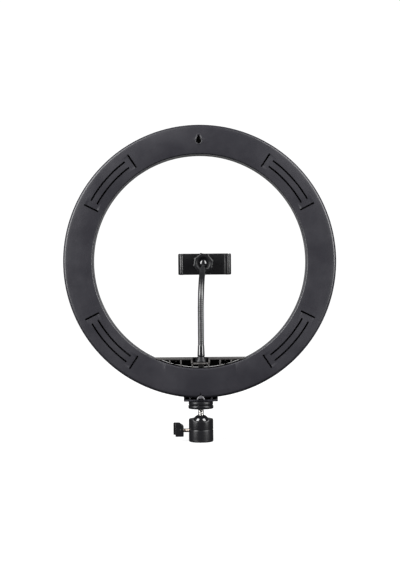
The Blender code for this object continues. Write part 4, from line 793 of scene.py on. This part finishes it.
lens_low, lens_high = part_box("diffuser")
LENS_OUT, LENS_IN = lens_high.x, HOLE_R + WALL + 0.3 * mm
across = np.linspace(0, 1, 9)
crowned = lens_high.y - 0.45 * mm * (2 * across - 1) ** 4
dome = np.stack([LENS_OUT + (LENS_IN - LENS_OUT) * across, crowned], -1)
opal_ring = np.concatenate([dome, [(LENS_IN, lens_low.y), (LENS_OUT, lens_low.y)]])
opal_ring = soften(opal_ring, 0.3 * mm, closed=True, steps=3)
opal = finish("opal_acrylic", (0.80, 0.80, 0.775), (0.70, 0.70, 0.67), 0.42, spread=0.05, patch=14,
              patches=0.35, specks=0.1, grain=0.5, depth=0.01)
settle(opal.node_tree.nodes["Principled BSDF"], {
    "Subsurface Weight": 0.25, "Subsurface Scale": 0.002, "Emission Color": (1, 0.985, 0.95, 1),
    "Emission Strength": 0.42,
})
piece("diffuser_ring", [turned(opal_ring, 240, closed=True, matrix=ON_RING)], opal, "light", "opal",
      "diffuser")

white_sheet = finish("white_sheet", (0.82, 0.82, 0.82), (0.74, 0.74, 0.72), 0.6, grain=0.4, depth=0.01)
# The LED board, white on the real light, is coloured black as painted shade, so that the rear shell's vents
# show dark over it.
board_painted_shade = finish("board_painted_shade", (0.006, 0.006, 0.006), (0.012, 0.012, 0.012), 0.6, grain=0.8, depth=0.01,
                     specular=0.2)
board_green = finish("board_green", (0.02, 0.11, 0.05), (0.06, 0.2, 0.1), 0.35, grain=0.8, depth=0.02)
lead_red = finish("lead_red", (0.35, 0.02, 0.02), (0.2, 0.02, 0.02), 0.4, grain=0.3, depth=0.01)
coat(white_sheet, "white_sheet", "reflector_sheet")
coat(board_painted_shade, "board_white", "led_board")
coat(board_green, "board_green", "control_board")
coat(lead_red, "lead_red", "power_lead", "led_lead")
coat(bare_steel, "steel", "board_screw_left", "board_screw_right", *[f"frame_screw_{n}" for n in range(1, 7)])
coat(gloss_black, "gloss_black", "power_inlet")

# ---- Phone shelf
# A ribbed ABS shelf across the bottom of the hole, open at the back, screwed to the front frame.
# Its middle box takes the gooseneck's flange, over a bar that the neck's nut pulls against.
shelf_low, shelf_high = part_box("phone_shelf")
SHELF_TOP, SHELF_BACK, SHELF_FRONT = shelf_high.z, shelf_low.y, shelf_high.y
SHELF_R = HOLE_R - 0.3 * mm
PLATE, BAR = 1.9 * mm, 1.8 * mm
BAR_TOP = SHELF_TOP - 5.0 * mm
NECK_X, NECK_Y, ARCH_R = 0.7 * mm, -4.0 * mm, 8.6 * mm
half = math.sqrt(SHELF_R**2 - (RING_Z - SHELF_TOP) ** 2)
turn = np.radians(np.linspace(180, 0, 25))
arch = np.stack([ARCH_R * np.cos(turn), NECK_Y + ARCH_R * np.sin(turn)], -1)
plate = np.concatenate([[(-half, SHELF_BACK), (-ARCH_R, SHELF_BACK)], arch,
                        [(ARCH_R, SHELF_BACK), (half, SHELF_BACK), (half, SHELF_FRONT), (-half, SHELF_FRONT)]])
top_points, top_faces = moulded(plate, SHELF_TOP - PLATE, SHELF_TOP, 0.3 * mm, axis=2)
reach = np.sqrt(SHELF_R**2 - (RING_Z - top_points[:, 2]) ** 2)
top_points[:, 0] = np.clip(top_points[:, 0], -reach, reach)
edge = math.degrees(math.asin((RING_Z - SHELF_TOP) / SHELF_R))
turn = np.radians(np.linspace(180 + edge, 360 - edge, 40))
front_wall = np.stack([SHELF_R * np.cos(turn), RING_Z + SHELF_R * np.sin(turn)], -1)
shelf_shapes = [(top_points, top_faces), moulded(front_wall, SHELF_FRONT - 1.6 * mm, SHELF_FRONT, 0.3 * mm)]


def shelf_rib(x, thick, back, front, top):
    """A rib from the shelf's bottom edge, which is round, up to a height."""
    x0, x1 = x - thick / 2, x + thick / 2
    foot = [(x0, under_ring(x0, SHELF_R)), (x1, under_ring(x1, SHELF_R))]
    return moulded([*foot, (x1, top), (x0, top)], back, front, 0.25 * mm, 0.25 * mm)


UNDER, RIB_FRONT, RIB_THICK = SHELF_TOP - 1.0 * mm, SHELF_FRONT - 1 * mm, 1.6 * mm
BAR_FOOT, BAR_HALF, LUG_Y = BAR_TOP - BAR, 10.2 * mm, 6.6 * mm
shelf_shapes += [shelf_rib(side * x, RIB_THICK, SHELF_BACK + 0.2 * mm, RIB_FRONT, UNDER)
                 for side in (-1, 1) for x in (0.1826 * HOLE_R, 0.2875 * HOLE_R)]
for side in (-1, 1):
    lower, upper, thick = side * 9.0 * mm, side * 9.5 * mm, RIB_THICK / 2
    shelf_shapes.append(shelf_rib(lower, RIB_THICK, SHELF_BACK, RIB_FRONT, BAR_TOP - 0.3 * mm))
    cheek = (upper - thick, SHELF_BACK, BAR_FOOT), (upper + thick, RIB_FRONT, UNDER)
    shelf_shapes.append(block(*cheek, 0.3 * mm))
shelf_shapes.append(block((-BAR_HALF, SHELF_BACK, BAR_FOOT), (BAR_HALF, RIB_FRONT, BAR_TOP), 0.3 * mm))
lug = [(0, 0), (3.9 * mm, 0), (4.2 * mm, 0.3 * mm), (4.2 * mm, 2.6 * mm), (0, 2.6 * mm)]
for angle in (-104, -76):
    down = Vector((math.cos(math.radians(angle)), 0, math.sin(math.radians(angle))))
    foot = Matrix.Translation(Vector((0, LUG_Y, RING_Z)) + down * (SHELF_R - 3 * mm))
    shelf_shapes.append(turned(lug, 32, matrix=foot @ down.to_track_quat("Z", "Y").to_matrix().to_4x4()))
# The shelf is the ring's black ABS coloured about twice as light, a painted lighter tone for the light it
# catches from above.
shelf_plastic_painted_lit = finish("shelf_plastic_painted_lit", (0.013, 0.012, 0.0118), (0.022, 0.0205, 0.02), 0.46, spread=0.05,
                       patches=0.3, specks=0.2, grain=0.35, wear_and_highlight=(0.57, 0.75), worn_and_highlit=(0.042, 0.04, 0.038),
                       specular=0.4)
piece("shelf", shelf_shapes, shelf_plastic_painted_lit, "light", "shell_black", "phone_shelf")
coat(bare_steel, "steel", "shelf_screw_left", "shelf_screw_right")

# ---- Gooseneck fittings
# A cone-shaped flange clamps the neck on the shelf's bar, with a hexagon nut under it. A gloss
# black ferrule is crimped on each end of the neck.
AT_NECK = Matrix.Translation((NECK_X, NECK_Y, 0))
flange_low, flange_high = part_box("neck_flange")
FLANGE_R = (flange_high.x - flange_low.x) / 2
cone = soften([(3.6 * mm, flange_low.z), (FLANGE_R, flange_low.z), (FLANGE_R, flange_low.z + 1.2 * mm),
               (5.0 * mm, flange_high.z - 0.6 * mm), (4.7 * mm, flange_high.z), (3.6 * mm, flange_high.z)],
              0.3 * mm, closed=True)
piece("flange", [turned(cone, 64, closed=True, matrix=AT_NECK)], satin_paint, "light", "satin_black",
      "neck_flange")
black_steel = finish("black_steel", (0.02, 0.02, 0.021), (0.05, 0.045, 0.04), 0.35, metallic=0.8, grain=0.15,
                     depth=0.006)
nut_low, nut_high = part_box("neck_nut")
six = np.radians(np.arange(0, 360, 60))
hexagon = np.stack([NECK_X + 5.4 * mm * np.cos(six), NECK_Y + 5.4 * mm * np.sin(six)], -1)
piece("hexagon_nut", [moulded(hexagon, nut_low.z, nut_high.z, 0.3 * mm, 0.4 * mm, axis=2)],
      black_steel, "light", "steel", "neck_nut")
base_low, base_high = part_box("neck_base_ferrule")
FERRULE_R = (base_high.x - base_low.x) / 2
FERRULE_FOOT = base_high.z - 12.35 * mm
ferrule = soften([(0, base_high.z), (3.4 * mm, base_high.z), (3.6 * mm, base_high.z - 0.5 * mm),
                  (FERRULE_R - 0.3 * mm, FERRULE_FOOT + 0.2 * mm), (3.2 * mm, FERRULE_FOOT),
                  (3.2 * mm, base_low.z), (0, base_low.z)], 0.25 * mm)
piece("base_ferrule", [turned(ferrule, 56, matrix=AT_NECK)], gloss_black, "light", "gloss_black",
      "neck_base_ferrule")

# ---- Gooseneck
# A steel spiral tube, coated black, straight up from the shelf and then bent forwards. Each length of it
# crosses one of the neck's eight bending places.
NECK_R, STRAIGHT, BEND_R, BEND = 3.4 * mm, 29.5 * mm, 57.3 * mm, math.radians(55)
NECK_FOOT = FERRULE_FOOT + 13.0 * mm
NECK_LONG = STRAIGHT + BEND_R * BEND
WINDING_PITCH = 2.2 * mm
LEAN = math.radians(4.4)
FORWARD = np.array([math.sin(LEAN), math.cos(LEAN), 0])
SIDEWAYS = np.array([math.cos(LEAN), -math.sin(LEAN), 0])
UP = np.array([0.0, 0.0, 1.0])


def neck_line(s):
    """Points and directions along the neck: straight up, then an arc forwards, then straight on."""
    s = np.asarray(s, float)[..., None]
    turn = np.clip((s - STRAIGHT) / BEND_R, 0, BEND)
    rest = s - STRAIGHT - turn * BEND_R
    way = UP * np.cos(turn) + FORWARD * np.sin(turn)
    base = np.array([NECK_X, NECK_Y, NECK_FOOT + STRAIGHT])
    return base + (UP * np.sin(turn) + FORWARD * (1 - np.cos(turn))) * BEND_R + way * rest, way


def wound_tube(low, high):
    """The neck from one distance to another: r = R - d (1 - |cos(pi s / pitch - a / 2)|)."""
    s = np.linspace(low, high, max(4, int((high - low) / (0.22 * mm))))
    turn = np.linspace(0, 2 * np.pi, 40, endpoint=False)
    point, way = neck_line(s)
    front = np.cross(way, SIDEWAYS)
    winding = 1 - np.abs(np.cos(np.pi * s[:, None] / WINDING_PITCH - turn / 2))
    fade = 1 - 0.75 * step(46 * mm, 58 * mm, s)[:, None]
    r = NECK_R - 0.42 * mm * fade * winding**1.5
    ring = SIDEWAYS * np.cos(turn)[None, :, None] + front[:, None, :] * np.sin(turn)[None, :, None]
    points = point[:, None, :] + ring * r[..., None]
    return points.reshape(-1, 3), capped(len(s), 40)


neck_coat = finish("neck_coat", (0.005, 0.005, 0.0055), (0.02, 0.02, 0.022), 0.2, patches=0.15, specks=0.3,
                   grain=0.2, depth=0.004, wear_and_highlight=(0.58, 0.75), worn_and_highlit=(0.05, 0.05, 0.055))
CHAIN = ["light", *[f"neck_{n}" for n in range(1, 8)], "neck_tip"]
LINK = NECK_LONG / 7
for number, (before, after) in enumerate(zip(CHAIN, CHAIN[1:])):
    low = max((number - 0.5) * LINK, -0.8 * mm)
    high = min((number + 0.5) * LINK, NECK_LONG + 0.8 * mm)
    replaced = [f"neck_link_{number + 1}"] if number < 7 else []
    length = piece(f"neck_length_{number + 1}", [wound_tube(low, high)], neck_coat, None, "satin_black",
                   *replaced)
    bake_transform(length)


def on_neck(s):
    """A frame at a distance along the neck, with Z along it and X sideways."""
    point, way = neck_line(s)
    turn = np.stack([SIDEWAYS, np.cross(way, SIDEWAYS), way], -1)
    placed = np.eye(4)
    placed[:3, :3], placed[:3, 3] = turn, point
    return placed


TIP_LONG, STEM_R, CLIP_BALL_R = 13.8 * mm, 1.8 * mm, 6.0 * mm
TIP_BORE = STEM_R + 0.2 * mm
tip = soften([(0, 0.4 * mm), (NECK_R - 0.1 * mm, 0.4 * mm), (NECK_R, 0.9 * mm), (NECK_R, TIP_LONG - 2.4 * mm),
              (STEM_R + 0.9 * mm, TIP_LONG), (TIP_BORE, TIP_LONG), (TIP_BORE, TIP_LONG - 1 * mm),
              (0, TIP_LONG - 1 * mm)], np.array([0, 0.2, 0.3, 1.2, 0.5, 0.1, 0, 0]) * mm)
tip_black = finish("tip_black", (0.005, 0.005, 0.0055), (0.02, 0.02, 0.022), 0.3, patches=0.15, depth=0.003)
piece("tip_ferrule", [turned(tip, 56, matrix=on_neck(NECK_LONG))], tip_black, "neck_tip", "gloss_black",
      "neck_tip_ferrule")
BALL_S = NECK_LONG + TIP_LONG + CLIP_BALL_R + 4.2 * mm
turn = np.linspace(0, math.pi - math.asin(STEM_R / CLIP_BALL_R), 30)
stem = np.concatenate([
    np.stack([CLIP_BALL_R * np.sin(turn), CLIP_BALL_R * np.cos(turn)], -1),
    [(STEM_R, -TIP_LONG - CLIP_BALL_R - 2 * mm), (0, -TIP_LONG - CLIP_BALL_R - 2 * mm)],
])
piece("clip_ball", [turned(stem, 56, matrix=on_neck(BALL_S))], gloss_black, "stem", "gloss_black", "ball_stem")

# ---- Clip's lock nut
# A round moulded nut with eight finger lobes screws on the clip's socket, and its funnel-shaped
# back closes on the ball.
CLIP = neck_line(BALL_S)[0]
AT_CLIP = Matrix.Translation(CLIP)
BACKWARD = AT_CLIP @ Matrix.Rotation(math.radians(-90), 4, "X")
nut_low, nut_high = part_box("ball_lock_nut")
NUT_BACK, NUT_FRONT = nut_low.y - CLIP[1], nut_high.y - CLIP[1]
LIP_Y, SOCKET_R, NUT_BORE, NUT_R = -3.4 * mm, 6.3 * mm, 8.6 * mm, 10.9 * mm
LOBE, LOBE_TURN, SIDES = 1.0 * mm, math.radians(14), 192
lip_r = math.sqrt(SOCKET_R**2 - LIP_Y**2)
turn = np.linspace(0, 2 * np.pi, SIDES, endpoint=False)
lobes = LOBE * np.maximum(0, np.cos(8 * (turn + LOBE_TURN))) ** 1.5
outline = [(NUT_R - 0.9 * mm, NUT_BACK), (NUT_R, NUT_BACK + 1.0 * mm), (NUT_R, NUT_FRONT - 0.8 * mm),
           (NUT_R - 0.6 * mm, NUT_FRONT), (NUT_BORE, NUT_FRONT), (NUT_BORE, 0.5 * mm), (SOCKET_R, 0.5 * mm),
           (lip_r, LIP_Y), (lip_r + LIP_Y - NUT_BACK - 0.3 * mm, NUT_BACK)]
share = np.repeat([0.75, 1, 1, 0.75, 0, 0, 0, 0, 0], 5)
outline = soften(outline, np.array([0.5, 0.6, 0.5, 0.3, 0.2, 0.2, 0.2, 0.25, 0.3]) * mm, closed=True)
piece("lock_nut", [turned(outline, SIDES, closed=True, matrix=BACKWARD, swell=lobes, share=share)],
      clip_plastic, "nut", "satin_black", "ball_lock_nut")

# ---- Clip body, jaws and rods
# Two black ABS mouldings close on each other over two steel rods with springs. The body ends in
# the fixed jaw, and the sliding jaw's tongue runs inside it. The jaws have rubber pads.
body_low, body_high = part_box("clip_body")
cover_low, cover_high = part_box("clip_cover")
jaw_low, jaw_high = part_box("sliding_jaw")
z_low, z_high = body_low.z, body_high.z


def clip_plate(x0, x1, y0, y1, corner, edge, z0=None, z1=None):
    """A plate of the clip whose corners are rounded, seen from behind, as given from the lower left."""
    z0, z1 = z_low if z0 is None else z0, z_high if z1 is None else z1
    return moulded([(x0, z0), (x1, z0), (x1, z1), (x0, z1)], y0, y1, edge, corner, rounds=5)


def clip_end(outline, corner):
    """A plate of the clip given by its outline (x, y) seen from above, from its bottom to its top."""
    return moulded(outline, z_low, z_high, 1.3 * mm, corner, axis=2, rounds=5)


X_LEFT, X_RIGHT = body_low.x, jaw_high.x
LEFT, RIGHT = cover_low.x, cover_high.x
Y_BACK, Y_COVER, Y_REACH = body_low.y, cover_high.y, jaw_high.y
BODY_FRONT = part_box("pad_face")[0].y - 0.3 * mm
JAW, GRIP = 3.0 * mm, 3.4 * mm
PLUG_END, PLUG_BACK = Y_COVER - CLIP[1] - 0.2 * mm, 0.8 * mm
socket = soften([(0, PLUG_END), (NUT_BORE - 0.3 * mm, PLUG_END), (NUT_BORE - 0.3 * mm, PLUG_BACK),
                 (SOCKET_R, PLUG_BACK), (SOCKET_R * 0.8, 3.9 * mm), (0, 6.2 * mm)], 0.2 * mm)
piece("cover", [
    clip_plate(LEFT + 0.6 * mm, RIGHT - 3.0 * mm, Y_BACK, Y_COVER, 1.4 * mm, 1.3 * mm),
    clip_plate(LEFT, RIGHT - 0.3 * mm, Y_BACK + 1.4 * mm, Y_COVER, 0.3 * mm, 0.3 * mm),
    clip_plate(RIGHT - 4.6 * mm, RIGHT, Y_BACK + 0.12 * mm, Y_COVER, 1.0 * mm, 1.2 * mm),
    turned(socket[::-1], 64, matrix=BACKWARD),
], clip_plastic, "clip", "clip_black", "clip_cover")

IN, THIN = X_LEFT + JAW, 1.6 * mm
fixed_jaw = [(X_LEFT, Y_BACK + 2.9 * mm), (X_LEFT + 1.2 * mm, Y_BACK + 1.6 * mm),
             (X_LEFT + 3.4 * mm, Y_BACK + 0.15 * mm), (X_LEFT + 3.7 * mm, Y_BACK + 1.2 * mm),
             (IN, Y_COVER + 0.2 * mm), (IN, Y_REACH - JAW), (IN + GRIP, Y_REACH - JAW), (IN + GRIP, Y_REACH),
             (X_LEFT, Y_REACH)]
WALL_Y = (Y_COVER + 0.3 * mm, BODY_FRONT)
piece("body_and_fixed_jaw", [
    clip_end(fixed_jaw, np.array([0.5, 0.5, 0.3, 0.2, 0.2, 0.5, 0.8, 0.8, 1.2]) * mm),
    clip_plate(LEFT, RIGHT, BODY_FRONT - THIN, BODY_FRONT, 0.4 * mm, 0.3 * mm),
    clip_plate(LEFT, RIGHT, *WALL_Y, 0.3 * mm, 0.3 * mm, z1=z_low + THIN),
    clip_plate(LEFT, RIGHT, *WALL_Y, 0.3 * mm, 0.3 * mm, z0=z_high - THIN),
    clip_plate(RIGHT - 1.8 * mm, RIGHT, *WALL_Y, 0.3 * mm, 0.3 * mm),
], clip_plastic, "clip", "clip_black", "clip_body")
IN = X_RIGHT - JAW
moving_jaw = [(IN, Y_BACK + 1.0 * mm), (IN + 0.2 * mm, Y_BACK + 0.15 * mm),
              (X_RIGHT - 0.9 * mm, Y_BACK + 1.3 * mm), (X_RIGHT, Y_BACK + 2.4 * mm), (X_RIGHT, Y_REACH),
              (IN - GRIP, Y_REACH), (IN - GRIP, Y_REACH - JAW), (IN, Y_REACH - JAW)]
piece("sliding_jaw_moulded", [
    clip_end(moving_jaw, np.array([0.2, 0.2, 0.4, 0.5, 1.2, 0.8, 0.8, 0.5]) * mm),
    clip_plate(jaw_low.x, IN + 0.5 * mm, BODY_FRONT - 3.5 * mm, BODY_FRONT - 1.9 * mm, 0.6 * mm, 0.3 * mm,
               z_low + 2.65 * mm, z_high - 2.65 * mm),
], clip_plastic, "jaw", "clip_black", "sliding_jaw")
coat(bare_steel, "steel", "slide_rod_upper", "slide_rod_lower")


def wound_spring(x0, x1, coil_r, wire_r, turns, y, z):
    """A round wire along a helix about X: (x, r cos a, r sin a), its ends wound close together."""
    u = np.linspace(0, 1, 24 * turns + 1)
    a = 2 * np.pi * turns * u
    x = x0 + wire_r + (x1 - x0 - 2 * wire_r) * (u - 0.06 * np.sin(4 * np.pi * u) / np.pi)
    centre = np.stack([x, y + coil_r * np.cos(a), z + coil_r * np.sin(a)], -1)
    out = np.stack([0 * a, np.cos(a), np.sin(a)], -1)
    round_wire = np.linspace(0, 2 * np.pi, 10, endpoint=False)[:, None]
    ring = out[:, None, :] * np.cos(round_wire) + np.array([1.0, 0, 0]) * np.sin(round_wire)
    points = centre[:, None, :] + wire_r * ring
    return points.reshape(-1, 3), capped(len(u), 10)


WIRE = 0.3 * mm
for name in ("upper", "lower"):
    low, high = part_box("slide_spring_" + name)
    middle_y, middle_z = (low.y + high.y) / 2, (low.z + high.z) / 2
    coil = wound_spring(low.x, high.x, (high.z - low.z) / 2 - WIRE, WIRE, 9, middle_y, middle_z)
    spring = piece(f"wound_spring_{name}", [coil], bare_steel, "clip", "steel", "slide_spring_" + name,
                   sharp=60)
    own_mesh(spring)

rubber = finish("pad_rubber", (0.020, 0.020, 0.021), (0.06, 0.06, 0.06), 0.75, patches=0.3, specks=0.4,
                grain=0.6, depth=0.05)
for name, body in (("pad_face", "clip"), ("pad_fixed", "clip"), ("pad_sliding", "jaw")):
    low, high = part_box(name)
    if name == "pad_face":
        outline = [(low.x, low.z), (high.x, low.z), (high.x, high.z), (low.x, high.z)]
        shape = moulded(outline, low.y, high.y, 0.4 * mm, 1.6 * mm)
    else:
        outline = [(low.y, low.z), (high.y, low.z), (high.y, high.z), (low.y, high.z)]
        shape = moulded(outline, low.x, high.x, 0.4 * mm, 1.3 * mm, axis=0)
    piece(name + "_rubber", [shape], rubber, body, "rubber", name)

low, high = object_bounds()
